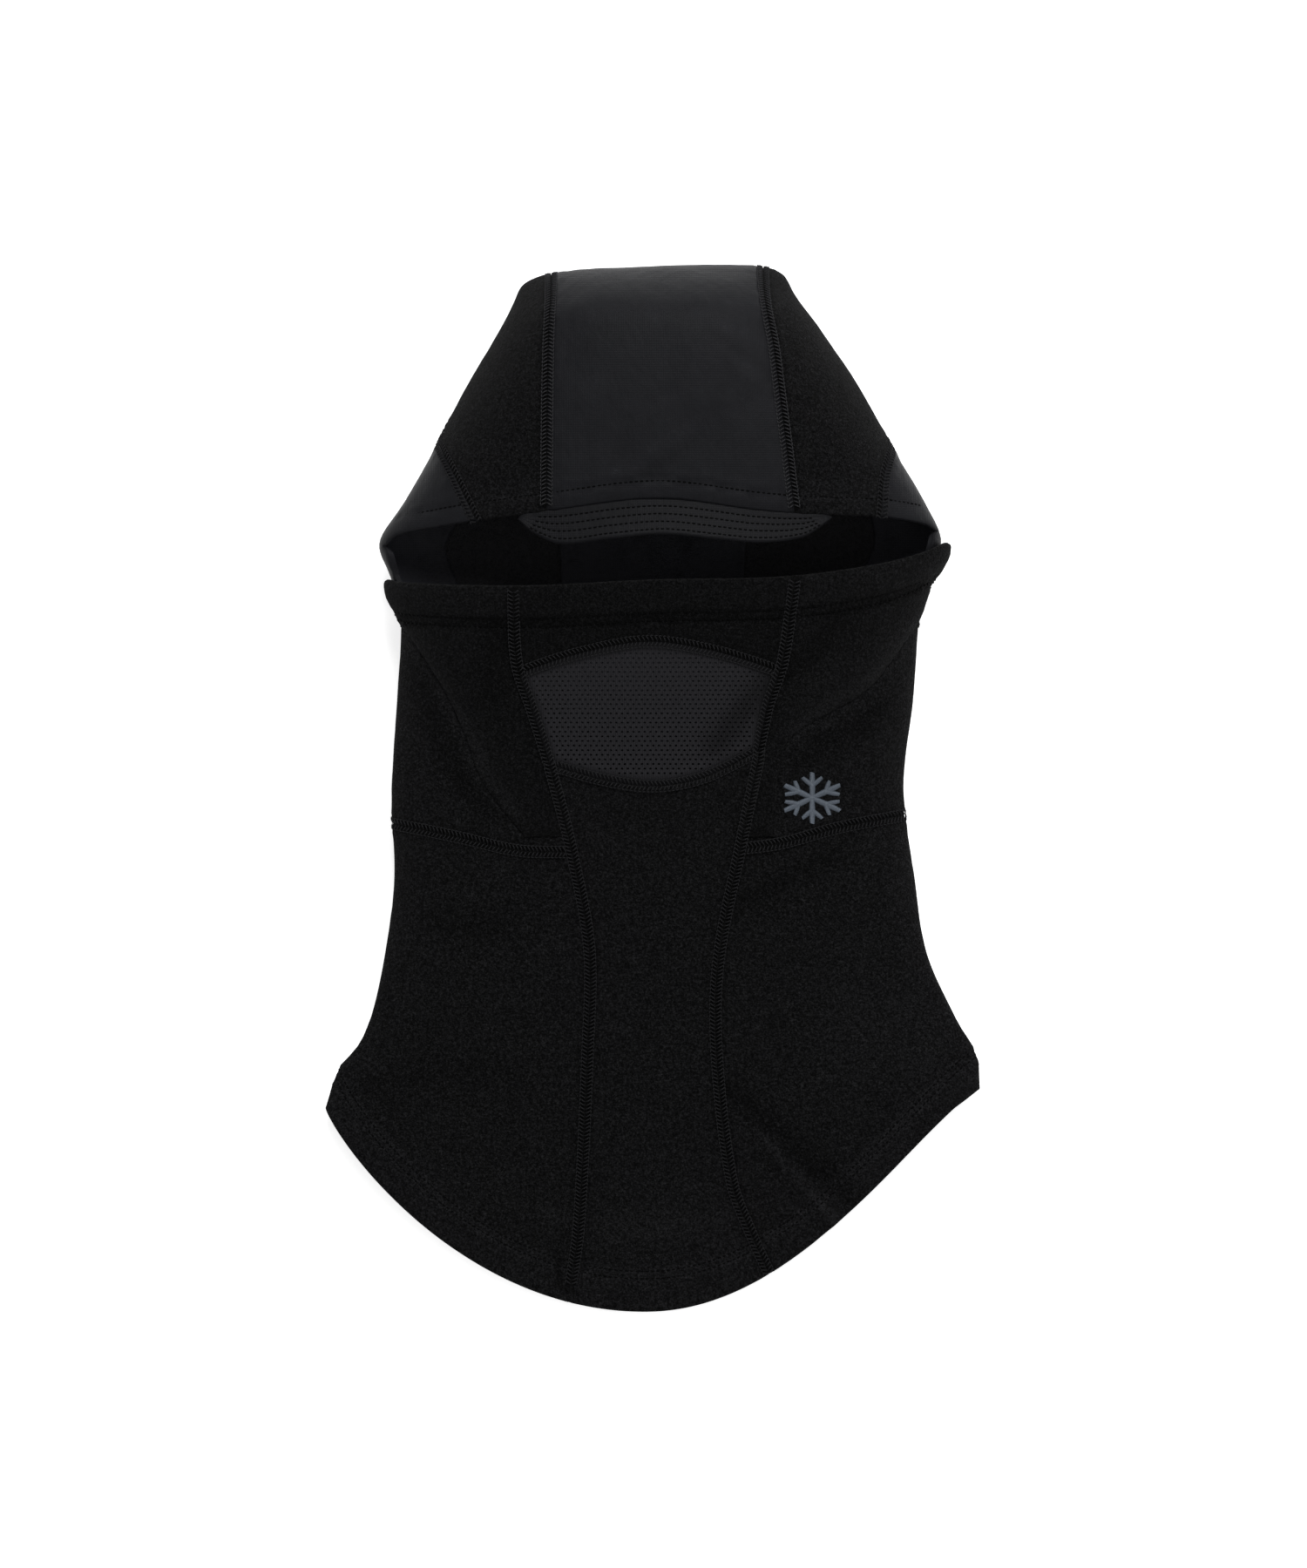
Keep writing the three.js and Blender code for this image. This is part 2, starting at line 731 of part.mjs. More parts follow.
function hoodThreads() {
  const stitchTop = BROW_STITCH_RISE + 2
  const hemRow = hemRoute(-99, 99, HEM_STITCH_RISE, 26)
  const bibEnd = HEM_STITCH_RISE + 4
  const startLeft = CROWN_SEAM_LEFT[0][1] + stitchTop
  const startRight = CROWN_SEAM_RIGHT[0][1] + stitchTop
  const browRow = browLine(BROW_STITCH_RISE, -117, 124).map(([x, y]) => locate(x, y))
  return {
    crown_seam_thread_left: hoodThread(trim(crownLeft, startLeft, CROWN + 9), FLATLOCK_WIDTH),
    crown_seam_thread_right: hoodThread(trim(crownRight, startRight, CROWN + 9), FLATLOCK_WIDTH),
    temple_seam_thread_left: hoodThread(trim(templeLeft, 124.6 + stitchTop, CROWN), FLATLOCK_WIDTH),
    temple_seam_thread_right: hoodThread(trim(templeRight, 125.4 + stitchTop, CROWN), FLATLOCK_WIDTH),
    neck_seam_thread_left: hoodThread(route([...NECK_SEAM_LEFT.slice(0, 3), [-41.5, -29.9]]), FLATLOCK_WIDTH),
    neck_seam_thread_right: hoodThread(route([[51, -26.8], ...NECK_SEAM_RIGHT.slice(1)]), FLATLOCK_WIDTH),
    bib_seam_thread_left: hoodThread(trim(bibLeft, -231 + bibEnd, -25), FLATLOCK_WIDTH),
    bib_seam_thread_right: hoodThread(trim(bibRight, -224 + bibEnd, -25), FLATLOCK_WIDTH),
    brow_topstitch_thread: hoodThread(browRow, TOPSTITCH_WIDTH),
    hem_coverstitch_thread: hoodThread(hemRow, COVERSTITCH_WIDTH),
  }
}

// Strip that lines the edge of the face hole: from the hole's edge to a line further out.
function browFacing() {
  const edge = browLine(1.2, -112, 118)
  const far = browLine(BROW_FACING, -112, 118).reverse()
  return biggest(prism([...edge, ...far]).intersect(liningLayer))
}

function sideFacing(edge, outward) {
  const inset = edge.map(([x, y]) => [x + Math.sign(x), y])
  const far = edge.map(([x, y]) => [x + Math.sign(x) * outward, y - outward * 0.45]).reverse()
  return biggest(prism([...inset, ...far]).intersect(liningLayer))
}

// Generic six-armed snowflake, as bars in the plane.
function snowflake() {
  const [halfWidth, halfHeight] = EMBLEM_SIZE
  const [x0, y0] = EMBLEM_AT
  const stroke = 0.9
  const strokes = []
  for (let arm = 0; arm < 6; arm += 1) {
    const turn = radians(30 + 60 * arm)
    const along = (share, lean = 0) => [share * Math.cos(turn + lean), share * Math.sin(turn + lean)]
    strokes.push([[0, 0], along(1)])
    strokes.push([along(0.52), along(0.82, 0.34)])
    strokes.push([along(0.52), along(0.82, -0.34)])
  }
  const solids = strokes.map(([a, b]) => {
    const start = new THREE.Vector2(a[0] * halfWidth, a[1] * halfHeight)
    const end = new THREE.Vector2(b[0] * halfWidth, b[1] * halfHeight)
    const side = end.clone().sub(start).rotateAround(new THREE.Vector2(), RIGHT_ANGLE).setLength(stroke)
    const corners = [start.clone().sub(side), end.clone().sub(side), end.clone().add(side), start.clone().add(side)]
    return prism(corners.map((p) => [p.x + x0, p.y + y0]), 10)
  })
  return solids.reduce((whole, part) => whole.add(part))
}

function neckLabel() {
  const [width, height, thickness] = LABEL_SIZE
  const tab = new THREE.BoxGeometry(width, height, thickness)
  return solidFrom(tab.translate(0, LABEL_Y, FABRIC + CLEARANCE + thickness / 2))
}

// ---- the mask -------------------------------------------------------------------------------

function standoff(angle, { x, y }) {
  const chin = (1 - smooth(36, 45.5, Math.abs(x))) * (1 - smooth(-22, 5, y))
  const bulge = MASK_BULGE * smooth(0, 95, y) * Math.cos(angle) ** 2
  return MASK_STANDOFF + bulge - (MASK_STANDOFF + FABRIC) * chin
}

// Surface of the mask: depth 0 is its outer face.
function maskPlace(angle, level, depth = 0) {
  return place(angle, level, depth - FABRIC - standoff(angle, place(angle, level)))
}

function maskPoint(u, v, depth) {
  const topAngle = radians(mix(curve(MASK_SIDES, 110, 1), curve(MASK_SIDES, 110, 2), u))
  const top = curve(MASK_TOP, maskPlace(topAngle, 98).x)
  const y = mix(MASK_BOTTOM, top, v)
  const angle = radians(mix(curve(MASK_SIDES, y, 1), curve(MASK_SIDES, y, 2), u))
  return maskPlace(angle, levelAt(angle, y), depth)
}

const maskSlab = (top, bottom) =>
  slab(24, 8, (u, v) => maskPoint(u, v, top), (u, v) => maskPoint(u, v, bottom))

const maskThreadLayer = maskSlab(-CLEARANCE - THREAD, -CLEARANCE)
const onMask = (points, spacing = 16) => route(points, spacing, maskPlace)

const maskSeamLeft = onMask(BIB_SEAM_LEFT.slice(0, 5))
const maskSeamRight = onMask(BIB_SEAM_RIGHT.slice(0, 5))

function maskThread(path, width) {
  const frames = path.map((spot) => frameAt(spot, maskPlace))
  return biggest(bar(frames, width, 3, 1.5).intersect(maskThreadLayer))
}

function maskPanels() {
  const cuts = [
    kerf(maskSeamLeft, 9, 9, maskPlace),
    kerf(maskSeamRight, 9, 9, maskPlace),
    kerf(onMask(NET_TOP), 0.5, 0.5, maskPlace),
    kerf(onMask(NET_BOTTOM), 0.5, 0.5, maskPlace),
  ]
  const cutUp = (whole) => cuts.reduce((left, cut) => left.subtract(cut), whole).decompose()
  const pieces = cutUp(maskSlab(0, FABRIC))
  const net = pieceAt(cutUp(maskSlab((FABRIC - NET) / 2, (FABRIC + NET) / 2)), 0, 33, maskPlace)
  return {
    mask_top_panel: [pieceAt(pieces, 0, 82, maskPlace), fleece],
    mask_net_panel: [net, netting],
    mask_wing_left: [pieceAt(pieces, -60, 75, maskPlace), fleece],
    mask_wing_right: [pieceAt(pieces, 60, 75, maskPlace), fleece],
    mask_chin_panel: [pieceAt(pieces, 0, -2, maskPlace), fleece],
  }
}

function maskThreads() {
  const hemRow = MASK_TOP.slice(1, -1).map(([x, y]) => [x, y - HEM_STITCH_RISE])
  const underHem = (x) => curve(MASK_TOP, x) - HEM_STITCH_RISE - 3.5
  return {
    mask_seam_thread_left: maskThread(trim(maskSeamLeft, MASK_BOTTOM, underHem(-62), maskPlace), FLATLOCK_WIDTH),
    mask_seam_thread_right: maskThread(trim(maskSeamRight, MASK_BOTTOM, underHem(62), maskPlace), FLATLOCK_WIDTH),
    net_seam_thread_top: maskThread(onMask(NET_TOP.slice(1, -1)).slice(1, -1), FLATLOCK_WIDTH),
    net_seam_thread_bottom: maskThread(onMask(NET_BOTTOM.slice(1, -1)).slice(1, -1), FLATLOCK_WIDTH),
    mask_hem_coverstitch_thread: maskThread(onMask(hemRow), COVERSTITCH_WIDTH),
  }
}

// ---- the brim -------------------------------------------------------------------------------

// Place on the brim: u from its right end to its left, v from its root to its edge.
function brimPoint(u, v, depth) {
  const left = BRIM_EDGE[0][0]
  const right = BRIM_EDGE[BRIM_EDGE.length - 1][0]
  const rootX = mix(right - 1, left + 1, u)
  const edgeX = mix(right, left, u)
  const rootY = curve(BROW_EDGE, rootX) - BRIM_ROOT_GAP
  const { angle, level } = locate(rootX, rootY)
  const rootZ = place(angle, level).z - BRIM_SINK
  const lift = BRIM_LIFT * Math.sin(Math.PI * mix(0.02, 0.98, u)) ** 0.7
  const y = mix(rootY, curve(BRIM_EDGE, edgeX), v)
  return new THREE.Vector3(mix(rootX, edgeX, v), y, rootZ + lift * v ** 1.2 - depth)
}

const brimSlab = (top, bottom, ends = 0, edge = 0) =>
  slab(
    18,
    2,
    (u, v) => brimPoint(mix(ends, 1 - ends, u), mix(edge, 1 - edge, v), top),
    (u, v) => brimPoint(mix(ends, 1 - ends, u), mix(edge, 1 - edge, v), bottom),
  )

function brimPieces() {
  const boardTop = BRIM_COVER + CLEARANCE
  const lowerTop = boardTop + BRIM_BOARD + CLEARANCE
  return {
    brim_upper_cover: [brimSlab(0, BRIM_COVER), nylon],
    brim_stiffener: [brimSlab(boardTop, boardTop + BRIM_BOARD, 0.06, 0.12), board],
    brim_lower_cover: [brimSlab(lowerTop, lowerTop + BRIM_COVER), nylon],
  }
}

function brimRow(share) {
  const half = 0.035
  const top = (u, v) => brimPoint(mix(0.07, 0.93, u), mix(share - half, share + half, v), -CLEARANCE - 0.4)
  const bottom = (u, v) => brimPoint(mix(0.07, 0.93, u), mix(share - half, share + half, v), -CLEARANCE)
  return slab(18, 1, top, bottom)
}

// ---- build ----------------------------------------------------------------------------------

const balaclava = new THREE.Group()

function add(name, solid, material) {
  const mesh = new THREE.Mesh(geometryFrom(solid.simplify(FACET_SLACK)), material)
  mesh.name = name
  balaclava.add(mesh)
}

for (const [name, [solid, material]] of Object.entries(hoodPanels())) add(name, solid, material)
for (const [name, solid] of Object.entries(hoodThreads())) add(name, solid, thread)
add('brow_facing', browFacing(), nylon)
add('opening_facing_left', sideFacing(FACE_HOLE_LEFT.slice(0, 5), SIDE_FACING), nylon)
add('opening_facing_right', sideFacing(FACE_HOLE.slice(4, 9), SIDE_FACING), nylon)
add('cheek_emblem', snowflake().intersect(threadLayer), embroidery)
add('neck_label', neckLabel(), label)

for (const [name, [solid, material]] of Object.entries(maskPanels())) add(name, solid, material)
for (const [name, solid] of Object.entries(maskThreads())) add(name, solid, thread)

for (const [name, [solid, material]] of Object.entries(brimPieces())) add(name, solid, material)
BRIM_ROWS.forEach((share, i) => add(`brim_stitch_row_${i + 1}`, brimRow(share), thread))

export default balaclava
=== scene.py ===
"""Hinged ski balaclava laid on its back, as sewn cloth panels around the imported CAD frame.

Shapes are worked out in millimetres, +X to the garment's right, +Y to the crown, +Z up, and
turned into metres where a mesh is made. A place on the cloth is an angle round the body and a
level along it, as in the CAD part.
"""

import math

import bpy
import numpy as np
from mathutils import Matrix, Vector
from mathutils.geometry import delaunay_2d_cdt
from mathutils.kdtree import KDTree


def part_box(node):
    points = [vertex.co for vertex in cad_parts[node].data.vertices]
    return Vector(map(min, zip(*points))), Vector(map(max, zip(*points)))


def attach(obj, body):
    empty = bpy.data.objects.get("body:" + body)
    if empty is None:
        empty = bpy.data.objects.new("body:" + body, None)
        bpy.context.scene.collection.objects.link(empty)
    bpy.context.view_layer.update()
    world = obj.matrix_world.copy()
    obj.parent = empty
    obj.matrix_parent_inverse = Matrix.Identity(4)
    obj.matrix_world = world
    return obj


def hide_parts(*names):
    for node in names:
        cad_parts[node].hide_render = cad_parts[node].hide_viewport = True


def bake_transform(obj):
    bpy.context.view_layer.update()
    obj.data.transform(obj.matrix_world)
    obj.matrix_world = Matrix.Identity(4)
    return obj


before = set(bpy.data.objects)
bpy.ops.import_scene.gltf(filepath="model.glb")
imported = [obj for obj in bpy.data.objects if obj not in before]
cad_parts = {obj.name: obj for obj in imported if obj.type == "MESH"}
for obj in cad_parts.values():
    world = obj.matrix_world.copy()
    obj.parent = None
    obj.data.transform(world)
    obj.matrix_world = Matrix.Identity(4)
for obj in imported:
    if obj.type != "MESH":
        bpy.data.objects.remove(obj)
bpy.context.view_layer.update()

MM = 0.001

# ---- driving dimensions, millimetres ---------------------------------------------------------

FABRIC = 2.2  # thickness of fleece and of lined nylon
NET = 0.9  # thickness of the breathing mesh
CROWN = 239.2  # level of the top fold
HEM = -143.0  # level of the hem at the side folds
FRONT_SCOOP = 97.2  # how far the middle of the front hem hangs below its sides
BACK_SCOOP = 57.0
SCOOP_TOP = 10.0  # level where rings start to follow the curve of the hem
HEM_TILT = 4.5
CROWN_TILT = 0.04
TILT_START = 150.0  # level where the slope of the top fold sets in
FOLD_START = 213.0  # level where the body starts to close towards the top fold
CORNER_START = 226.0  # level where its top corners start to round off
BACK_FLAT = 0.7  # share of the back that lies flat on the table

HEM_HALF = 150.6  # half width of the body at the hem

# Half widths of the body: level, left, right.
OUTLINE = [
    (-143, HEM_HALF, HEM_HALF), (-127, 145, 149), (-111, 133.5, 140), (-79, 124, 126),
    (-39, 118.4, 120), (1, 119.6, 115.2), (41, 117.6, 119.4), (80, 115.5, 122.4),
    (97, 120.5, 125.2), (112, 125.4, 132.4), (129, 115.2, 125.6), (153, 101.2, 111.6),
    (185, 85.2, 93.2), (209, 72, 76.4), (225, 64, 64.6), (240, 59, 58.8),
]
# Height of its front: y, height.
FRONT_HEIGHT = [
    (-241, 10.4), (-215, 12.2), (-190, 14.8), (-150, 19), (-100, 23), (-50, 28), (-22, 32),
    (0, 35), (50, 44), (95, 52), (125, 60), (160, 62), (190, 61), (214, 57), (230, 48.5),
    (240, 37),
]
# Height of its side folds: level, height.
FOLD_HEIGHT = [(-143, 7.5), (-100, 9), (-40, 11), (20, 17), (80, 22), (160, 22), (210, 17), (240, 13.5)]

# Seams and edges on the front, as x, y.
BROW_EDGE = [
    (-124, 110.5), (-117.5, 116.2), (-99.6, 119.6), (-81, 122.4), (-48.4, 126.6), (2.4, 132.2),
    (48, 127), (67.6, 125.4), (104.4, 124.2), (125.6, 121), (131, 117.6),
]
CROWN_SEAM_LEFT = [(-48.4, 125.6), (-47.8, 188), (-46.5, 236)]
CROWN_SEAM_RIGHT = [(64.8, 124.6), (56.8, 188), (50.6, 237)]
CROWN_SEAM_BACK = [(48, 220), (43, 100), (40, -10)]
TEMPLE_SEAM_LEFT = [(-98, 157), (-92, 145), (-80.6, 121.4)]
TEMPLE_SEAM_RIGHT = [(109, 153), (106, 142), (104.4, 123.2)]
TEMPLE_TOP_LEFT = 165.0
TEMPLE_TOP_RIGHT = 158.0
BIB_SEAM_LEFT = [
    (-63.4, 90.8), (-62, 57), (-55.3, 36), (-46.6, 8.2), (-37, -29.8), (-29, -75),
    (-29.8, -120), (-34, -202), (-38, -231),
]
BIB_SEAM_RIGHT = [
    (64.8, 95.2), (59.2, 57), (52.3, 36), (48, 11.8), (40, -28), (30.2, -79), (29.2, -120),
    (36.3, -181), (46.4, -208), (54.7, -226),
]
NECK_SEAM_LEFT = [(-118, -17), (-88.4, -23), (-62, -29), (-37, -29.8)]
NECK_SEAM_RIGHT = [(40, -28.2), (59.2, -25.6), (85.2, -18.6), (115, -13)]
NET_TOP = [(-62, 50), (-55.8, 54), (-30, 62), (-2, 66.5), (26, 62.5), (52.5, 54.6), (60, 51)]
NET_BOTTOM = [(-50, 12), (-45.8, 10), (-22, 3.2), (0.6, 0.4), (22, 4), (42.4, 13.3), (50, 17)]
MASK_TOP = [
    (-125, 96.5), (-119, 93), (-60, 91), (0, 93.6), (60, 95), (100, 100.4), (122, 107.6), (134, 118),
]
FACE_HOLE_RIGHT = [
    (46, -22.6), (49, 0), (54, 18), (62, 32), (80, 47), (96, 63), (110, 80), (122, 94),
    (126, 104), (129, 115),
]
FACE_HOLE_LEFT = [(-121, 107), (-117, 94), (-106, 80), (-88, 62), (-74, 38), (-62, 10), (-46, -22.6)]
# Side edges of the mask as angles round the body: y, left, right.
MASK_SIDES = [
    (-22, -29.2, 28.5), (-8, -35.7, 29), (5, -41, 29.5), (25, -46, 33.5), (45, -53.4, 54.4),
    (57, -61, 62.8), (66, -68.5, 70), (71, -75, 75), (78, -90, 85), (88, -100, 97),
    (110, -110, 108),
]
CHIN = -22.6  # where the mask joins the bib, along Y
MASK_STANDOFF = 1.0
MASK_BULGE = 6.0
MASK_FLARE = 0.7  # how much further the mask's top hem stands off

BRIM_EDGE = [
    (-61, 122), (-54, 115.8), (-42, 110.9), (-19.2, 113.2), (5, 115.2), (29.2, 113),
    (50, 111.5), (68, 113.9), (75.9, 118.4), (81.6, 123),
]
BRIM_LIFT = 6.5  # how far the middle of its edge stands up
BRIM_SINK = 0.9  # how far its root lies under the brow
BRIM_ROOT_GAP = 1.0
BRIM_ROWS = [0.2, 0.42, 0.64, 0.86]  # its stitch rows, as shares of the way to its edge

HEM_STITCH_RISE = 16.0  # from a turned edge to the middle of its stitch rows
BROW_STITCH_RISE = 7.2
HOOD_ROW_HALF = 1.7  # half the distance between the two stitch rows of the hem
MASK_ROW_HALF = 1.8
NAPE = -18.0  # the seam across the back, along Y
NECK_END_LEFT = -16.0  # levels where the neck seams meet the side folds
NECK_END_RIGHT = -12.5
BACK_SIDE_INSET = 28.0  # from the side folds to the seams inside them
NECK_BACK_HALF = 80.0  # half width of the back of the neck
EMBLEM_AT = (73, -5)
EMBLEM_SIZE = (14.5, 11.5)  # half its width and half its height

# ---- how finely the cloth is made ------------------------------------------------------------

SPACING = 2.2  # between the points of the front
BACK_SPACING = 3.6  # and of the back
LINE_SPACING = 1.7  # between the points of a seam
SEAM_GUIDES = (1.4, 3.2)  # rows of points that keep a seam's profile crisp
FINDER_SPACING = 0.6  # between the points by which the distance to a line is found
ROUND_SCALE = 90  # millimetres round the body for a radian, about

RIGHT_ANGLE = math.pi / 2


# ---- numbers ---------------------------------------------------------------------------------


def smooth(low, high, value):
    t = np.clip((np.asarray(value, float) - low) / (high - low), 0, 1)
    return t * t * (3 - 2 * t)


def mix(a, b, t):
    return a + (b - a) * t


def bell(distance, half):
    """1 at no distance, falling off smoothly within about twice half."""
    return np.exp(-((distance / half) ** 2))


def curve(rows, place, column=1):
    """Smooth curve through rows of numbers, read at place."""
    rows = np.array(rows, float)
    x, y, last = rows[:, 0], rows[:, column], len(rows) - 1
    at = np.clip(place, x[0], x[-1])
    i = np.clip(np.searchsorted(x, at, side="left") - 1, 0, last - 1)
    before, after = np.maximum(i - 1, 0), np.minimum(i + 2, last)
    step = x[i + 1] - x[i]
    start = step * (y[i + 1] - y[before]) / (x[i + 1] - x[before])
    end = step * (y[after] - y[i]) / (x[after] - x[i])
    t = (at - x[i]) / step
    near = (2 * t**3 - 3 * t**2 + 1) * y[i] + (t**3 - 2 * t**2 + t) * start
    return near + (3 * t**2 - 2 * t**3) * y[i + 1] + (t**3 - t**2) * end


def run_of(points):
    """How far along a line each of its points lies."""
    return np.append(0, np.cumsum(np.linalg.norm(np.diff(points, axis=0), axis=1)))


def read_along(at, along, rows):
    """Rows of numbers given at along, read at other lengths."""
    return np.column_stack([np.interp(at, along, column) for column in rows.T])


def spaced(points, step):
    """The same line again, with its points about step apart."""
    points = np.asarray(points, float)
    along = run_of(points)
    at = np.linspace(0, along[-1], max(3, int(math.ceil(along[-1] / step)) + 1))
    return read_along(at, along, points)


def smooth_line(points, step):
    """A smooth line through a few points, with its points about step apart."""
    points = np.asarray(points, float)
    along = run_of(points)
    at = np.linspace(0, along[-1], int(along[-1] / step * 2) + 8)
    rows = np.column_stack([along, points])
    dense = np.column_stack([curve(rows, at, k + 1) for k in range(points.shape[1])])
    return spaced(dense, step)


def halved(low, high, below, rounds):
    """Narrows the bounds low and high towards the place where below stops being true."""
    for _ in range(rounds):
        middle = (low + high) / 2
        under = below(middle)
        low, high = np.where(under, middle, low), np.where(under, high, middle)
    return low, high


def unit(vectors):
    return vectors / np.maximum(np.linalg.norm(vectors, axis=-1, keepdims=True), 1e-9)


def lumps(points, size, seed=0):
    """Smooth noise from -1 to 1 at points in space, with lumps of about this size."""
    p = np.asarray(points, float) / size + seed * 7.31
    cell = np.floor(p)
    f = p - cell
    w = f * f * (3 - 2 * f)
    total = np.zeros(len(p))
    for corner in np.ndindex(2, 2, 2):
        wave = np.sin((cell + corner) @ np.array([12.9898, 78.233, 37.719])) * 43758.5453
        value = (wave - np.floor(wave)) * 2 - 1
        total += value * np.prod(np.where(np.array(corner, bool), w, 1 - w), axis=1)
    return total


# ---- the body surface ------------------------------------------------------------------------


def ring_half(level, column):
    """Half width of the body at a level, with its rounded top corners."""
    corner = np.clip((level - CORNER_START) / (CROWN - CORNER_START), 0, 1)
    return curve(OUTLINE, level, column) * (1 - corner**4) ** 0.25


def body(angle, level, depth=0.0):
    """Points of the body surface, depth below its outer face."""
    angle, level, depth = np.broadcast_arrays(*[np.asarray(v, float) for v in (angle, level, depth)])
    sine, front = np.sin(angle), np.cos(angle) >= 0
    half = np.where(sine < 0, ring_half(level, 1), ring_half(level, 2))
    x = (half - depth * np.minimum(1, half / 20)) * sine
    flat = 1 - sine**2
    front_scoop = FRONT_SCOOP * np.where(sine < 0, flat**0.85, flat**1.3)
    scoop = np.where(front, front_scoop, BACK_SCOOP * flat)
    y = level - (1 - smooth(HEM, SCOOP_TOP, level)) * (scoop - HEM_TILT * sine)
    y = y + CROWN_TILT * x * smooth(TILT_START, CROWN, level) - depth * smooth(FOLD_START, CROWN, level)
    top = np.clip((level - FOLD_START) / (CROWN - FOLD_START), 0, 1)
    thin = np.sqrt(1 - top**2)
    fold = curve(FOLD_HEIGHT, level)
    rise = (curve(FRONT_HEIGHT, y) - depth - fold) * np.sqrt(1 - np.abs(sine) ** 2.6)
    bend = np.clip((np.abs(sine) - BACK_FLAT) / (1 - BACK_FLAT), 0, 1)
    drop = (depth - fold) * np.sqrt(1 - bend**2)
    z = fold + np.where(front, rise, drop) * thin
    return np.stack([x, y, z], axis=-1)


def level_at(angle, y):
    """Levels at which the body reaches y at these angles."""
    low, high = np.full(np.shape(y), HEM - 8.0), np.full(np.shape(y), CROWN)
    low, high = halved(low, high, lambda level: body(angle, level)[..., 1] < y, 24)
    return (low + high) / 2


def locate(x, y, front=True, surface=body):
    """Angles and levels of the places seen at x, y on the front or back of a surface."""
    x, y = np.broadcast_arrays(np.asarray(x, float), np.asarray(y, float))
    side = np.where(x < 0, -1.0, 1.0)
    lean = np.where(np.abs(x) < 0.01, 0.0, 0.5)
    for _ in range(10):
        angle = side * np.where(front, lean, math.pi - lean)
        level = level_at(angle, y)
        reached = np.maximum(np.abs(surface(angle, level)[..., 0]), 1e-6)
        lean = np.where(reached > 0.01, np.arcsin(np.clip(np.sin(lean) * np.abs(x) / reached, 0, 1)), lean)
    return np.column_stack([angle, level])


def outward(places):
    """Unit directions out of the body at places."""
    angle, level = places[:, 0], np.minimum(places[:, 1], CROWN - 0.6)
    along = body(angle + 0.004, level) - body(angle - 0.004, level)
    up = body(angle, level + 0.4) - body(angle, level - 0.4)
    return unit(np.cross(along, up))


# ---- the plane chart the cloth is meshed in --------------------------------------------------
# Rings of level become nested ovals about the crown, near true shape on the cloth.

DOME = 200.0  # level above which the chart follows the dome of the crown
DOME_ROUND = 22.0  # length of cloth that the top fold's rounding adds
CHART_GROWTH = 80.0  # the ovals grow e-fold over this length below the dome


def chart_axes(level):
    """Half axes of a level's oval in the chart: across and lengthways."""
    dome = np.maximum(level, DOME)
    grown = np.exp((dome - level) / CHART_GROWTH)
    top = np.clip((dome - FOLD_START) / (CROWN - FOLD_START), 0, 1)
    wide = (ring_half(dome, 1) + ring_half(dome, 2)) / 2
    long = CROWN - dome + DOME_ROUND * np.sqrt(1 - top**2)
    return np.maximum(wide, 1e-6) * grown, np.maximum(long, 1e-6) * grown


def chart(places):
    wide, long = chart_axes(places[:, 1])
    return np.column_stack([wide * np.sin(places[:, 0]), long * np.cos(places[:, 0])])


def unchart(points):
    def inside(level):
        wide, long = chart_axes(level)
        return (points[:, 0] / wide) ** 2 + (points[:, 1] / long) ** 2 < 1

    low, high = np.full(len(points), HEM - 30.0), np.full(len(points), CROWN)
    level, _ = halved(low, high, inside, 40)
    wide, long = chart_axes(level)
    return np.column_stack([np.arctan2(points[:, 0] / wide, points[:, 1] / long), level])


# ---- sheets of triangles cut along lines -----------------------------------------------------


def tree_of(points):
    tree = KDTree(len(points))
    for i, p in enumerate(points):
        tree.insert(p, i)
    tree.balance()
    return tree


class Near:
    """Finds how far points are from some lines, and how far along them."""

    def __init__(self, lines):
        dense = [spaced(line, FINDER_SPACING) for line in lines]
        self.along = np.concatenate([np.arange(len(line)) * FINDER_SPACING for line in dense])
        self.tree = tree_of(np.concatenate(dense))

    def find(self, points):
        found = [self.tree.find(p) for p in points]
        return np.array([f[2] for f in found]), self.along[[f[1] for f in found]]


def nearest(points, lines):
    return Near(lines).find(points)


def cut_sheet(lines, loose, holes=()):
    """Triangles through loose places and along lines: places, faces and each face's region."""
    parts = [np.asarray(line, float) for line in lines] + [np.asarray(hole, float) for hole in holes]
    edges, count = [], 0
    for k, part in enumerate(parts):
        edges += [(count + i, count + i + 1) for i in range(len(part) - 1)]
        if k >= len(lines):
            edges.append((count + len(part) - 1, count))
        count += len(part)
    given = np.concatenate([*parts, loose])
    flat = [Vector(p) for p in chart(given)]
    points, made, faces, sources, from_edges, _ = delaunay_2d_cdt(flat, edges, [], 0, 1e-5)
    places = unchart(np.array([p[:] for p in points]))
    for i, source in enumerate(sources):
        if source:
            places[i] = given[source[0]]
    walls = {tuple(sorted(e)) for e, source in zip(made, from_edges) if source}
    across = {}
    for f, face in enumerate(faces):
        for k in range(3):
            across.setdefault(tuple(sorted((face[k - 1], face[k]))), []).append(f)
    joined = [[] for _ in faces]
    for edge, sides in across.items():
        if edge not in walls and len(sides) == 2:
            joined[sides[0]].append(sides[1])
            joined[sides[1]].append(sides[0])
    region, last = [-1] * len(faces), 0
    for start in range(len(faces)):
        if region[start] >= 0:
            continue
        region[start], todo = last, [start]
        while todo:
            for f in joined[todo.pop()]:
                if region[f] < 0:
                    region[f] = last
                    todo.append(f)
        last += 1
    return places, np.array(faces)[:, ::-1], np.array(region)


def region_at(places, faces, region, angle, level):
    """The faces of the region that holds the place at this angle in degrees and level."""
    middles = chart(places)[faces].mean(axis=1)
    spot = chart(np.array([[math.radians(angle), level]]))[0]
    wanted = region[np.argmin(np.linalg.norm(middles - spot, axis=1))]
    return faces[region == wanted]


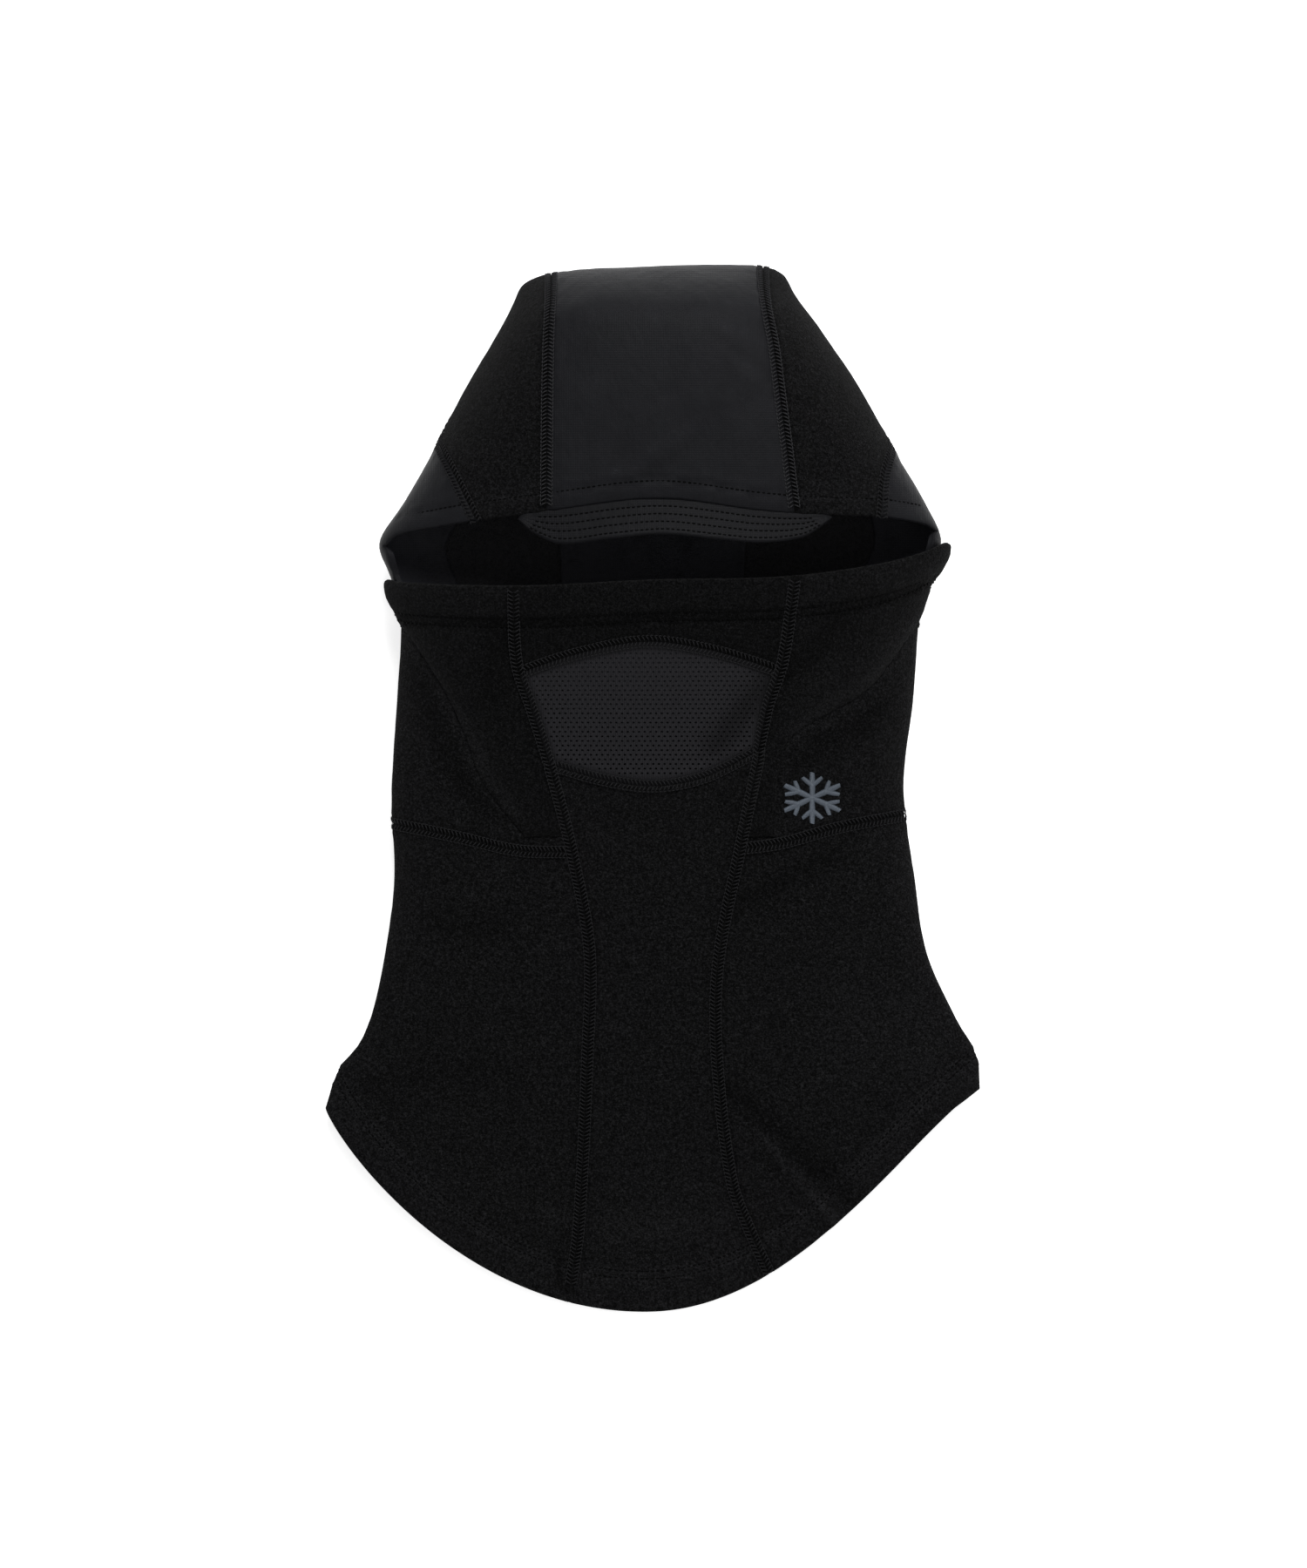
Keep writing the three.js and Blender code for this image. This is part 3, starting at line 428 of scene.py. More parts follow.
def borders(faces):
    """Edges of a patch of faces that only one of them has, in that face's direction."""
    directed = np.concatenate([faces[:, [0, 1]], faces[:, [1, 2]], faces[:, [2, 0]]])
    known = {(a, b) for a, b in directed.tolist()}
    return np.array([e for e in directed.tolist() if (e[1], e[0]) not in known])


# ---- making objects --------------------------------------------------------------------------


def add_object(name, data):
    thing = bpy.data.objects.new(name, data)
    bpy.context.scene.collection.objects.link(thing)
    return thing


def new_piece(name, points, faces, material, inside=None):
    """A mesh piece from points in millimetres. inside is the painted light: 1, painted lighter, on the
    side facing the wearer.
    """
    mesh = bpy.data.meshes.new(name)
    mesh.from_pydata((np.asarray(points) * MM).tolist(), [], [list(map(int, f)) for f in faces])
    mesh.validate()
    mesh.shade_smooth()
    cloth = mesh.attributes.new("cloth", "FLOAT_VECTOR", "POINT")
    cloth.data.foreach_set("vector", np.asarray(points, np.float32).ravel())
    if inside is not None:
        # The inside attribute holds the painted light: inner faces painted lighter, painted light and
        # shade outside.
        painted_light_attribute = mesh.attributes.new("inside", "FLOAT", "POINT")
        painted_light_attribute.data.foreach_set("value", np.asarray(inside, np.float32))
    mesh.materials.append(material)
    return add_object(name, mesh)


ROUND_STEPS = (0.1, 0.35, 0.65, 0.9)  # rows of points round a cloth edge, outer face to inner


def cloth_solid(faces, outer, inner, bulge, steps=ROUND_STEPS, shade=None):
    """Closed solid between two faces of a patch; bulge rounds its edge outwards at each point.

    Also gives each point's painted light for the look: 1 inside, painted lighter, and painted light and
    shade outside, painted shade below 0.
    """
    used, index = np.unique(faces, return_inverse=True)
    faces = index.reshape(-1, 3)
    outer, inner, bulge = outer[used], inner[used], bulge[used]
    rim = borders(faces)
    through = unit(outer - inner)
    sideways = np.cross(outer[rim[:, 1]] - outer[rim[:, 0]], through[rim[:, 0]])
    away = np.zeros_like(outer)
    for k in range(2):
        np.add.at(away, rim[:, k], unit(sideways))
    away = unit(away)
    count = len(outer)
    ring = np.unique(rim)
    where = np.full(count, -1)
    where[ring] = np.arange(len(ring))
    rows = [np.arange(count)]
    points = [outer, inner]
    # Painted light and shade on the outer face and rim; the inner face is painted lighter.
    shade = np.zeros(len(used)) if shade is None else shade[used]
    inside = [shade, np.ones(count)]
    start = 2 * count
    for t in steps:
        swell = bulge[ring, None] * math.sin(math.pi * t) ** 0.6
        points.append(mix(outer[ring], inner[ring], t) + away[ring] * swell)
        inside.append(shade[ring])
        rows.append(start + where)
        start += len(ring)
    rows.append(np.arange(count) + count)
    made = [faces, faces[:, ::-1] + count]
    a, b = rim[:, 0], rim[:, 1]
    quads = [np.column_stack([up[b], up[a], down[a], down[b]]) for up, down in zip(rows, rows[1:])]
    every = np.concatenate(made).tolist() + np.concatenate(quads).tolist()
    return np.concatenate(points), every, np.concatenate(inside)


# ---- surfaces of mask and bib, and seam routes -----------------------------------------------


def standoff(angle, points):
    """Gap between the hood and the mask's inner face. It closes towards the chin."""
    x, y = points[..., 0], points[..., 1]
    chin = (1 - smooth(40, 50, np.abs(x))) * (1 - smooth(-22, 5, y))
    bulge = MASK_BULGE * smooth(0, 95, y) * np.cos(angle) ** 2
    flare = MASK_FLARE * smooth(74, 96, y)
    return MASK_STANDOFF + flare + bulge - (MASK_STANDOFF + FABRIC) * chin


def mask(angle, level, depth=0.0):
    """Points of the mask's surface, depth below its outer face."""
    return body(angle, level, depth - FABRIC - standoff(angle, body(angle, level)))


def bib(angle, level, depth=0.0):
    """The bib follows the body up to the chin and the mask above it."""
    under = body(angle, level)
    raised = mask(angle, level, depth)
    share = smooth(CHIN - 1, CHIN + 1, under[..., 1])[..., None]
    return mix(body(angle, level, depth), raised, share)


def route(points, surface=body):
    """Places along a smooth line drawn as x, y on the front of a surface."""
    return locate(*smooth_line(points, LINE_SPACING).T, surface=surface)


def crown_route(front_points, mirror):
    """A crown seam: up the front, over the top fold and down the back to the nape."""
    low, top_x = front_points[0][1], front_points[-1][0]
    side = math.copysign(RIGHT_ANGLE, top_x)
    levels = np.linspace(CORNER_START, CROWN - 0.01, 400)
    reach = np.abs(body(side, levels)[:, 0])
    top_level = levels[np.argmax(reach <= abs(top_x))]
    top_y = body(side, top_level)[1]
    turn = np.linspace(0, math.pi, 240)
    front = turn < RIGHT_ANGLE
    y = np.where(front, mix(low, top_y, np.sin(turn)), mix(NAPE, top_y, np.sin(turn)))
    up_front = curve([(p[1], p[0]) for p in front_points], y)
    up_back = curve([(p[1], mirror * p[0]) for p in CROWN_SEAM_BACK][::-1], y)
    x = mix(np.where(front, up_front, up_back), top_x, smooth(200, top_y, y))
    places = locate(x, y, front)
    places[:, 0] = np.unwrap(places[:, 0])
    return resample(places)


def between(rows):
    """Places on a smooth line through a few places."""
    scaled = np.array(rows, float) * (ROUND_SCALE, 1)
    return smooth_line(scaled, LINE_SPACING) / (ROUND_SCALE, 1)


def beyond(line, start=0.0, end=0.0):
    """The line with its ends carried on a little, so that it crosses its neighbours."""
    scaled = np.array(line, float) * (ROUND_SCALE, 1)
    first = scaled[0] + unit(scaled[0] - scaled[1]) * start
    last = scaled[-1] + unit(scaled[-1] - scaled[-2]) * end
    return np.concatenate([[first], scaled, [last]]) / (ROUND_SCALE, 1)


def from_fold(angle, level, points):
    """A seam on the front that starts at a place on a side fold."""
    return resample(np.concatenate([[(angle, level)], route(points)]))


def route_at(angle, y):
    """A route through the places where the body reaches y at these angles."""
    return resample(np.column_stack([angle, level_at(angle, y)]))


def hem_route(rise):
    """A line all round the hem, this far above its edge."""
    angle = np.radians(np.linspace(0, 360, 620))
    y = body(angle, HEM)[:, 1] + rise
    return route_at(angle, y)


def resample(places, step=LINE_SPACING):
    """The same route with its places evenly spaced on the cloth."""
    along = run_of(body(*places.T))
    at = np.linspace(0, along[-1], max(3, int(along[-1] / step)))
    return read_along(at, along, places)


crown_left = crown_route(CROWN_SEAM_LEFT, -1)
crown_right = crown_route(CROWN_SEAM_RIGHT, 1)
temple_left = from_fold(-RIGHT_ANGLE, TEMPLE_TOP_LEFT, TEMPLE_SEAM_LEFT)
temple_right = from_fold(RIGHT_ANGLE, TEMPLE_TOP_RIGHT, TEMPLE_SEAM_RIGHT)
neck_left = from_fold(-RIGHT_ANGLE, NECK_END_LEFT, NECK_SEAM_LEFT)
neck_right = resample(np.concatenate([route(NECK_SEAM_RIGHT), [(RIGHT_ANGLE, NECK_END_RIGHT)]]))


def nape_route():
    """Seam across the back, from the left side fold to the right."""
    x = np.array([-112, -100, -80, -40, 0.001, 40, 80, 97, 108])
    places = locate(x, NAPE + 2 * (np.abs(x) / 110) ** 2, front=False)
    places[places[:, 0] > 0, 0] -= 2 * math.pi
    start, end = (-RIGHT_ANGLE, NECK_END_LEFT), (RIGHT_ANGLE - 2 * math.pi, NECK_END_RIGHT)
    return resample(between([start, *places.tolist(), end]))


def back_side_route(side, top):
    """Seam down the back inside a side fold, from the temple's top to the nape."""
    rows = [(side * RIGHT_ANGLE, top)]
    for drop, inset in ((9, 0.35), (22, 0.75), (40, 1), (60, 1), (85, 1), (110, 1), (135, 1)):
        edge = abs(body(side * RIGHT_ANGLE, top - drop)[0])
        rows.append(locate(side * (edge - BACK_SIDE_INSET * inset), top - drop, False)[0])
    rows.append(locate(side * 90, NAPE + 1.3, False)[0])
    return resample(between(rows))


def temple_cheek_route(side):
    """Seam between temple and cheek, from the face hole round the fold to the back side seam."""
    level = 76
    edge = abs(body(side * RIGHT_ANGLE, level)[0])
    rows = [locate(side * (103 if side < 0 else 106), 78)[0], locate(side * (edge - 4), 77)[0]]
    rows.append((side * RIGHT_ANGLE, level))
    rows += [locate(side * (edge - inset), level - 1, False)[0] for inset in (3, 9, 18, BACK_SIDE_INSET)]
    return resample(between(rows))


def neck_back_route(side):
    y = np.array([-17, -50, -85, -120, -150])
    rows = locate(side * NECK_BACK_HALF, y, False).tolist()
    rows.append((side * (math.pi - math.asin(NECK_BACK_HALF / HEM_HALF)), HEM - 3))
    return resample(between(rows))


def at_chin(line):
    """Splits a bib seam where the mask joins the bib: above, below."""
    y = body(*line.T)[:, 1]
    above = y > CHIN + 0.4
    return line[above], line[~above]


bib_left_up, bib_left_down = at_chin(route(BIB_SEAM_LEFT, bib))
bib_right_up, bib_right_down = at_chin(route(BIB_SEAM_RIGHT, bib))
net_top, net_bottom = route(NET_TOP, mask), route(NET_BOTTOM, mask)
brow = route(BROW_EDGE)
hem_ring = resample(np.column_stack([np.linspace(0, 2 * math.pi, 900), np.full(900, HEM)]))
hole_left = route(FACE_HOLE_LEFT)
hole_right = route(FACE_HOLE_RIGHT)


def crossing(line, other):
    """Index on line where it comes nearest to other."""
    a, b = body(*line.T)[:, None, :2], body(*other.T)[None, :, :2]
    return int(np.argmin(np.linalg.norm(a - b, axis=2).min(axis=1)))


# Ends of the net's lower edge, where it meets the two bib seams.
left_corner = crossing(net_bottom, bib_left_up)
right_corner = crossing(net_bottom, bib_right_up)
chin_edge = net_bottom[left_corner : right_corner + 1]
corner_left = crossing(bib_left_up, chin_edge)
corner_right = crossing(bib_right_up, chin_edge)
chin_left = np.concatenate([chin_edge[:1], bib_left_up[corner_left + 1 :], bib_left_down[:1]])
chin_right = np.concatenate([chin_edge[-1:], bib_right_up[corner_right + 1 :], bib_right_down[:1]])

# The hood's hole for the face. Its lower edge leaves the bib running up to the net.
face_hole = np.concatenate([hole_left, chin_left[::-1], chin_edge, chin_right, hole_right, brow[::-1]])

back_seams = [
    nape_route(),
    back_side_route(-1, TEMPLE_TOP_LEFT),
    back_side_route(1, TEMPLE_TOP_RIGHT),
    temple_cheek_route(-1),
    temple_cheek_route(1),
    neck_back_route(-1),
    neck_back_route(1),
]
hood_seams = [
    beyond(crown_left, 1, 1),
    beyond(crown_right, 1, 1),
    beyond(temple_left, 1, 1.5),
    beyond(temple_right, 1, 1.5),
    beyond(bib_left_down, 0, 9),
    beyond(bib_right_down, 0, 9),
    beyond(neck_left, 1, 0.6),
    beyond(neck_right, 0.6, 1),
    *[beyond(seam, 1.2, 1.2) for seam in back_seams],
]


# ---- looks -----------------------------------------------------------------------------------


def put(node, **values):
    """Sets inputs of a node. An underscore in a name stands for a space."""
    for name, value in values.items():
        node.inputs[name.replace("_", " ")].default_value = value


class Look:
    """A node material whose pattern is read where the cloth lay when it was cut, in millimetres."""

    def __init__(self, name, colour, roughness, specular):
        self.material = bpy.data.materials.new(name)
        self.material.use_nodes = True
        self.nodes, self.links = self.material.node_tree.nodes, self.material.node_tree.links
        self.shader = self.nodes["Principled BSDF"]
        put(self.shader, Base_Color=(*colour, 1), Roughness=roughness, Specular_IOR_Level=specular)
        self.cloth = self.nodes.new("ShaderNodeAttribute")
        self.cloth.attribute_name = "cloth"
        # The inside attribute brings in the painted light: inner faces painted lighter, painted light and
        # shade outside.
        inside = self.nodes.new("ShaderNodeAttribute")
        inside.attribute_name = "inside"
        self.inside = inside.outputs["Fac"]

    def sheen(self, weight, roughness, tint):
        put(self.shader, Sheen_Weight=weight, Sheen_Roughness=roughness, Sheen_Tint=(*tint, 1))

    def noise(self, size, detail=2.0, rough=0.5, stretch=(1, 1, 1)):
        place = self.nodes.new("ShaderNodeVectorMath")
        place.operation = "MULTIPLY"
        place.inputs[1].default_value = stretch
        self.links.new(self.cloth.outputs["Vector"], place.inputs[0])
        node = self.nodes.new("ShaderNodeTexNoise")
        put(node, Scale=1 / size, Detail=detail, Roughness=rough)
        self.links.new(place.outputs[0], node.inputs["Vector"])
        return node.outputs["Fac"]

    def cells(self, size):
        node = self.nodes.new("ShaderNodeTexVoronoi")
        put(node, Scale=1 / size)
        self.links.new(self.cloth.outputs["Vector"], node.inputs["Vector"])
        return node.outputs["Distance"]

    def bands(self, period, direction):
        """Slightly wavy stripes of this period in millimetres."""
        node = self.nodes.new("ShaderNodeTexWave")
        node.bands_direction = direction
        put(node, Scale=math.pi / 10 / period, Distortion=0.6, Detail=1.0)
        self.links.new(self.cloth.outputs["Vector"], node.inputs["Vector"])
        return node.outputs["Fac"]

    def maths(self, operation, first, second):
        node = self.nodes.new("ShaderNodeMath")
        node.operation = operation
        for socket, value in zip(node.inputs, (first, second)):
            if isinstance(value, (int, float)):
                socket.default_value = value
            else:
                self.links.new(value, socket)
        return node.outputs[0]

    def paint(self, value, stops):
        """Base colour from a value, through stops of position and colour."""
        ramp = self.nodes.new("ShaderNodeValToRGB")
        while len(ramp.color_ramp.elements) < len(stops):
            ramp.color_ramp.elements.new(0.5)
        for element, (at, colour) in zip(ramp.color_ramp.elements, stops):
            element.position = at
            element.color = (*colour, 1)
        self.links.new(value, ramp.inputs["Fac"])
        self.links.new(ramp.outputs["Color"], self.shader.inputs["Base Color"])

    def added(self, first, share, second, other):
        """first times its share and second times its other share, added."""
        first, second = self.maths("MULTIPLY", first, share), self.maths("MULTIPLY", second, other)
        return self.maths("ADD", first, second)

    def with_painted_light(self, tone, share):
        """A tone with the painted light added to it: inner faces painted lighter, and painted light and
        shade of folds and seams.
        """
        return self.maths("ADD", tone, self.maths("MULTIPLY", self.inside, share))

    def bump(self, height, distance):
        """Bump by a height of 0 to 1, distance millimetres deep."""
        node = self.nodes.new("ShaderNodeBump")
        put(node, Strength=1.0, Distance=distance * MM)
        self.links.new(height, node.inputs["Height"])
        self.links.new(node.outputs["Normal"], self.shader.inputs["Normal"])


def grey(value, blue=0.0):
    return (value, value, value * (1 + blue))


def fleece_look(name, base):
    """Brushed knit with a short pile: soft clumps, finer fibre and a faint sheen."""
    look = Look(name, grey(base), 0.95, 0.03)
    look.sheen(0.022, 0.5, grey(0.9))
    clumps = look.noise(1.5, 3.0, 0.65)
    fibre = look.noise(0.75, 4.0, 0.7)
    curls = look.cells(1.2)
    pile = look.added(clumps, 0.5, fibre, 0.6)
    tone = look.maths("SUBTRACT", pile, look.maths("MULTIPLY", curls, 0.12))
    shades = [(0.37, 0.12), (0.5, 0.9), (0.63, 2.5), (0.95, 7)]
    # The painted light is added to the fleece's tone here.
    look.paint(look.with_painted_light(tone, 0.45), [(at, grey(base * share, 0.07)) for at, share in shades])
    look.bump(tone, 1.3)
    return look.material


NYLON = (0.0062, 0.0063, 0.0074)


def nylon_look(name, base):
    """Fine plain weave with a low sheen and slight creases."""
    look = Look(name, base, 0.5, 0.05)
    look.sheen(0.006, 0.4, (0.85, 0.9, 1.0))
    warp = look.bands(0.8, "X")
    weft = look.bands(0.8, "Y")
    weave = look.maths("MULTIPLY", warp, weft)
    mottle = look.noise(9.0, 4.0, 0.6, (1, 0.6, 1))
    slub = look.noise(0.9, 2.0, 0.5, (0.35, 2.5, 1))
    tone = look.added(mottle, 0.55, slub, 0.45)
    shades = [(0.02, 0.3), (0.3, 0.85), (0.65, 1.2), (0.9, 3.4)]
    # The painted light is added to the nylon's tone here.
    look.paint(look.with_painted_light(tone, 0.4), [(at, [share * part for part in base]) for at, share in shades])
    crease = look.noise(5.0, 3.0, 0.55, (1.6, 0.8, 1))
    look.bump(look.added(weave, 0.12, crease, 0.5), 0.7)
    return look.material


NETTING = (0.013, 0.0127, 0.0144)


def net_look():
    """Warp knit: fine columns of loops between the holes."""
    look = Look("netting", NETTING, 0.7, 0.05)
    look.sheen(0.02, 0.5, grey(0.9))
    loops = look.bands(0.65, "X")
    fibre = look.noise(0.7, 3.0, 0.6, (1, 0.5, 1))
    tone = look.added(loops, 0.35, fibre, 0.65)
    shades = [(0.05, 0.3), (0.3, 0.62), (0.7, 1.3)]
    # The painted light is added to the net's tone here.
    look.paint(look.with_painted_light(tone, 0.4), [(at, [share * part for part in NETTING]) for at, share in shades])
    look.bump(tone, 0.35)
    return look.material


def thread_look(name, base):
    """Twisted polyester thread."""
    look = Look(name, grey(base), 0.6, 0.03)
    look.sheen(0.01, 0.4, grey(0.9))
    twist = look.noise(0.35, 2.0, 0.5, (1, 1, 2))
    look.paint(twist, [(0.3, grey(base * 0.6)), (0.7, grey(base * 1.5, 0.1))])
    look.bump(twist, 0.12)
    return look.material


def embroidery_look():
    """Slate satin stitch with a slight gloss along its threads."""
    look = Look("embroidery", (0.068, 0.081, 0.1), 0.42, 0.3)
    strand = look.noise(0.5, 2.0, 0.6, (1, 3, 1))
    look.paint(strand, [(0.3, (0.046, 0.056, 0.07)), (0.7, (0.085, 0.1, 0.122))])
    look.bump(strand, 0.1)
    return look.material


def label_look():
    look = Look("label", grey(0.016), 0.5, 0.2)
    weave = look.maths("MULTIPLY", look.bands(0.5, "X"), look.bands(0.35, "Y"))
    look.paint(weave, [(0.1, grey(0.012)), (0.8, grey(0.022))])
    look.bump(weave, 0.15)
    return look.material


def board_look():
    look = Look("board", grey(0.02), 0.45, 0.3)
    grain = look.noise(1.4, 3.0, 0.5)
    look.paint(grain, [(0.3, grey(0.017)), (0.7, grey(0.024))])
    look.bump(grain, 0.05)
    return look.material


LOOKS = {
    "fleece": fleece_look("fleece", 0.0041),
    # Darker copies of the fleece as painted shade: the crown sides, the mask's top panel and its wings.
    "crown_fleece_painted_shade": fleece_look("crown_fleece_painted_shade", 0.0034),
    "mask_fleece_painted_shade": fleece_look("mask_fleece_painted_shade", 0.0023),
    "wing_fleece_painted_shade": fleece_look("wing_fleece_painted_shade", 0.0029),
    "nylon": nylon_look("nylon", NYLON),
    # A darker copy of the nylon, painted shade on the brim's upper cover.
    "brim_nylon_painted_shade": nylon_look("brim_nylon_painted_shade", [0.7 * part for part in NYLON]),
    "netting": net_look(),
    "seam_thread": thread_look("seam_thread", 0.0108),
    # A lighter copy of the seam thread, painted light on the crown's lit stitches.
    "crown_thread_painted_light": thread_look("crown_thread_painted_light", 0.02),
    # Near-black thread for stitch rows: partly its own dark colour, partly painted shade of the sunk rows.
    "row_thread_painted_shade": thread_look("row_thread_painted_shade", 0.0008),
    "embroidery": embroidery_look(),
    "label": label_look(),
    "board": board_look(),
}


# ---- relief of the cloth ---------------------------------------------------------------------

SWEEPS_ABOVE = 8.0  # painted sweeps and relief folds lie only on cloth above this height
TUCK_BACK = 30.0  # and the crown's tucks above this one
SWEEP_ENDS = 14.0  # length over which a sweep fades at its ends

flatlock_lines = [crown_left, crown_right, temple_left, temple_right, bib_left_down, bib_right_down]
flatlock_lines += [neck_left, neck_right, *back_seams]
hem_row_low = hem_route(HEM_STITCH_RISE - HOOD_ROW_HALF)
hem_row_high = hem_route(HEM_STITCH_RISE + HOOD_ROW_HALF)
brow_row = locate(body(*brow.T)[6:-6, 0], body(*brow.T)[6:-6, 1] + BROW_STITCH_RISE)

# Soft folds of the neck, the wings and the crown: a line as x, y, its height and its half width.
FOLDS = [
    ([(48, -153), (64, -175), (84, -202), (90, -212)], 1.2, 2.0),
    ([(44, -162), (60, -182), (78, -206), (84, -214)], -0.9, 3.0),
    ([(-41.5, -8), (-40.5, -13), (-38, -22), (-36.5, -27)], -1.0, 1.1),
    ([(-122, -68), (-104, -80), (-84, -86)], 0.9, 7.0),
    ([(-146, -120), (-128, -131), (-110, -138)], 0.8, 7.0),
    ([(140, -112), (122, -126), (104, -136)], 0.9, 7.0),
    ([(118, -40), (98, -52), (80, -56)], 0.8, 8.0),
    ([(-88, -36), (-66, -48), (-50, -52)], 0.6, 7.0),
    ([(108, 66), (92, 52), (66, 38), (56, 22)], 0.5, 6.0),
    ([(20, 226), (34, 206), (54, 196)], 0.35, 3.5),
    ([(26, 206), (40, 188), (55, 180)], 0.3, 3.0),
    ([(8, 180), (-4, 160), (6, 142)], 0.35, 5.0),
    ([(-40, 224), (-26, 206), (-30, 186)], 0.3, 5.0),
]


# Painted light and shade on the fleece, highlights on ridges and shade in hollows and creases: a line as
# x, y, its tone and half width.
PAINTED_SWEEPS = [
    ([(-120, 82), (-113.6, 73), (-95.6, 46), (-83.6, 25), (-73.6, 1.4), (-56, -18)], 0.2, 4.8),
    ([(-112, 66), (-106, 47), (-88, 5), (-64, -18)], -0.13, 7.0),
    ([(-58, 84), (-66, 68), (-70, 48), (-66, 32)], -0.11, 8.0),
    ([(124, 82), (116, 72), (95.6, 48), (75.2, 35.4), (54.8, 21)], 0.2, 4.8),
    ([(116, 82), (104, 68), (88, 54), (70, 46), (58, 34)], 0.08, 6.0),
    ([(92, 88), (78, 72), (62, 54), (54, 44)], -0.12, 6.0),
    ([(116, 42), (98, 30), (80, 20), (58, 4)], -0.13, 6.0),
    ([(28, -131), (38, -140), (60, -160), (80, -178), (100, -196)], -0.15, 5.0),
    ([(44, -152), (52, -162), (66, -179), (82, -197), (92, -210)], 0.26, 1.5),
    ([(34, -60), (46, -50), (76, -35), (92, -28)], -0.11, 5.0),
    ([(70, -110), (110, -118), (140, -126)], 0.06, 26.0),
    ([(-30, -196), (10, -200), (50, -196)], 0.05, 24.0),
    ([(-110, -58), (-84, -64), (-56, -62)], -0.08, 8.0),
    ([(-130, -140), (-90, -130), (-50, -136)], -0.06, 9.0),
    ([(-42, -206), (-43, -222), (-44, -236)], -0.2, 1.6),
]
# Painted light and shade of the nylon crown's creases, in the same way.
CREASE_PAINTED_LIGHT = [
    ([(14, 220), (26, 212), (42, 207), (58, 196)], 0.3, 2.8),
    ([(20, 212), (34, 202), (50, 190), (58, 174)], -0.35, 2.6),
    ([(30, 204), (44, 192), (56, 182)], 0.28, 2.4),
    ([(-34, 138), (-14, 146), (8, 160), (24, 166)], 0.2, 3.0),
    ([(-30, 134), (-8, 141), (14, 154), (30, 160)], -0.3, 2.6),
    ([(-44, 222), (-24, 210), (-4, 214)], -0.3, 3.0),
    ([(-40, 180), (-16, 188), (10, 184)], 0.2, 5.0),
]
# The net's painted shadow on its right side, where the right wing's fold shades it: the middle line of
# that shadow.
NET_PAINTED_SHADOW = [(66, 62), (52, 49), (40, 35), (29, 20), (22, 10)]


def on_cloth(lines, surface=body):
    return [surface(*line.T) for line in lines]


def pucker(distance, along, sink, swell, width):
    """Profile beside a flatlock seam: sunk under the thread, swelling unevenly on both sides."""
    uneven = 1 + 0.45 * np.sin(along / 1.35) * np.sin(along / 5.3 + 1)
    swelling = swell * uneven * bell(distance - width - 1.2, 1.9)
    return swelling - sink * np.exp(-((distance / width) ** 2) ** 1.5)


def groove(distance, along, deep, width=0.9):
    return -deep * (1 + 0.25 * np.sin(along * 2.3)) * bell(distance, width)


def sweeps(rows):
    """Folds, or lines of painted light and shade, as finders, each with its strength, half width and
    length.
    """
    made = []
    for line, strength, half in rows:
        near = Near(on_cloth([locate(*smooth_line(line, 2).T)]))
        made.append((near, strength, half, near.along.max()))
    return made


def relief(points, seams, rows):
    """How far the cloth stands out of its plain surface at each point."""
    distance, along = seams.find(points)
    height = pucker(distance, along, 0.42, 0.4, 3.0)
    distance, along = rows.find(points)
    height += groove(distance, along, 0.5) + 0.25 * bell(distance - 2.4, 1.6)
    height += 0.55 * lumps(points, 46, 1) + 0.3 * lumps(points, 19, 2) + 0.09 * lumps(points, 5, 3)
    return height + along_sweeps(folds, points)


def along_sweeps(made, points):
    """The summed strength of folds, or of painted light and shade, at each point."""
    total = np.zeros(len(points))
    for near, strength, half, length in made:
        off, run = near.find(points)
        ends = smooth(0, SWEEP_ENDS, run) * smooth(0, SWEEP_ENDS, length - run)
        total += strength * ends * bell(off, half) * (points[:, 2] > SWEEPS_ABOVE)
    return total


def painted_pile_light(points, rows, row_tone):
    """Painted light and shade on the fleece: the painted sweeps, and a painted line of tone row_tone along
    the stitch rows.
    """
    return along_sweeps(painted_sweeps, points) + row_tone * bell(rows.find(points)[0], 1.3)


def crown_tuck(line, side):
    """The nylon's narrow tuck beside a crown seam, on the side of its middle."""
    return body(*line.T) + np.array([5.2 * side, 0, 0])


folds = sweeps(FOLDS)
# Painted highlights on ridges and painted shade in hollows and creases of the fleece.
painted_sweeps = sweeps(PAINTED_SWEEPS)
# Painted highlights and shade along the crown's nylon creases.
creases = sweeps(CREASE_PAINTED_LIGHT)
net_painted_shadow = sweeps([(NET_PAINTED_SHADOW, -0.8, 6.5)])
hood_seam_finder = Near(on_cloth(flatlock_lines))
tuck_finder = Near([crown_tuck(crown_left, 1), crown_tuck(crown_right, -1)])
hood_row_finder = Near(on_cloth([hem_row_low, hem_row_high, brow_row]))


def hood_relief(points):
    height = relief(points, hood_seam_finder, hood_row_finder)
    distance, along = tuck_finder.find(points)
    return height + groove(distance, along, 0.7, 1.1) * (points[:, 2] > TUCK_BACK)


# ---- the hood --------------------------------------------------------------------------------

MASK_OVERLAP = 24.0  # the hood is smooth this near to its face hole, where the mask lies on it
SEAM_SHADE_HALF = 3.2  # half width of the painted shade along a flat seam, over the cloth it presses down
SEAM_PAINTED_SHADE = 0.17  # how much painted shade fleece gets where a flat seam presses it down
CLOTH_FLOOR = 0.15  # height over the table that the back keeps
EDGE_REACH = 0.4  # points this near to a free edge belong to it
RIM_PLAY = -0.12  # how far a seamed edge of a panel stays back from its line


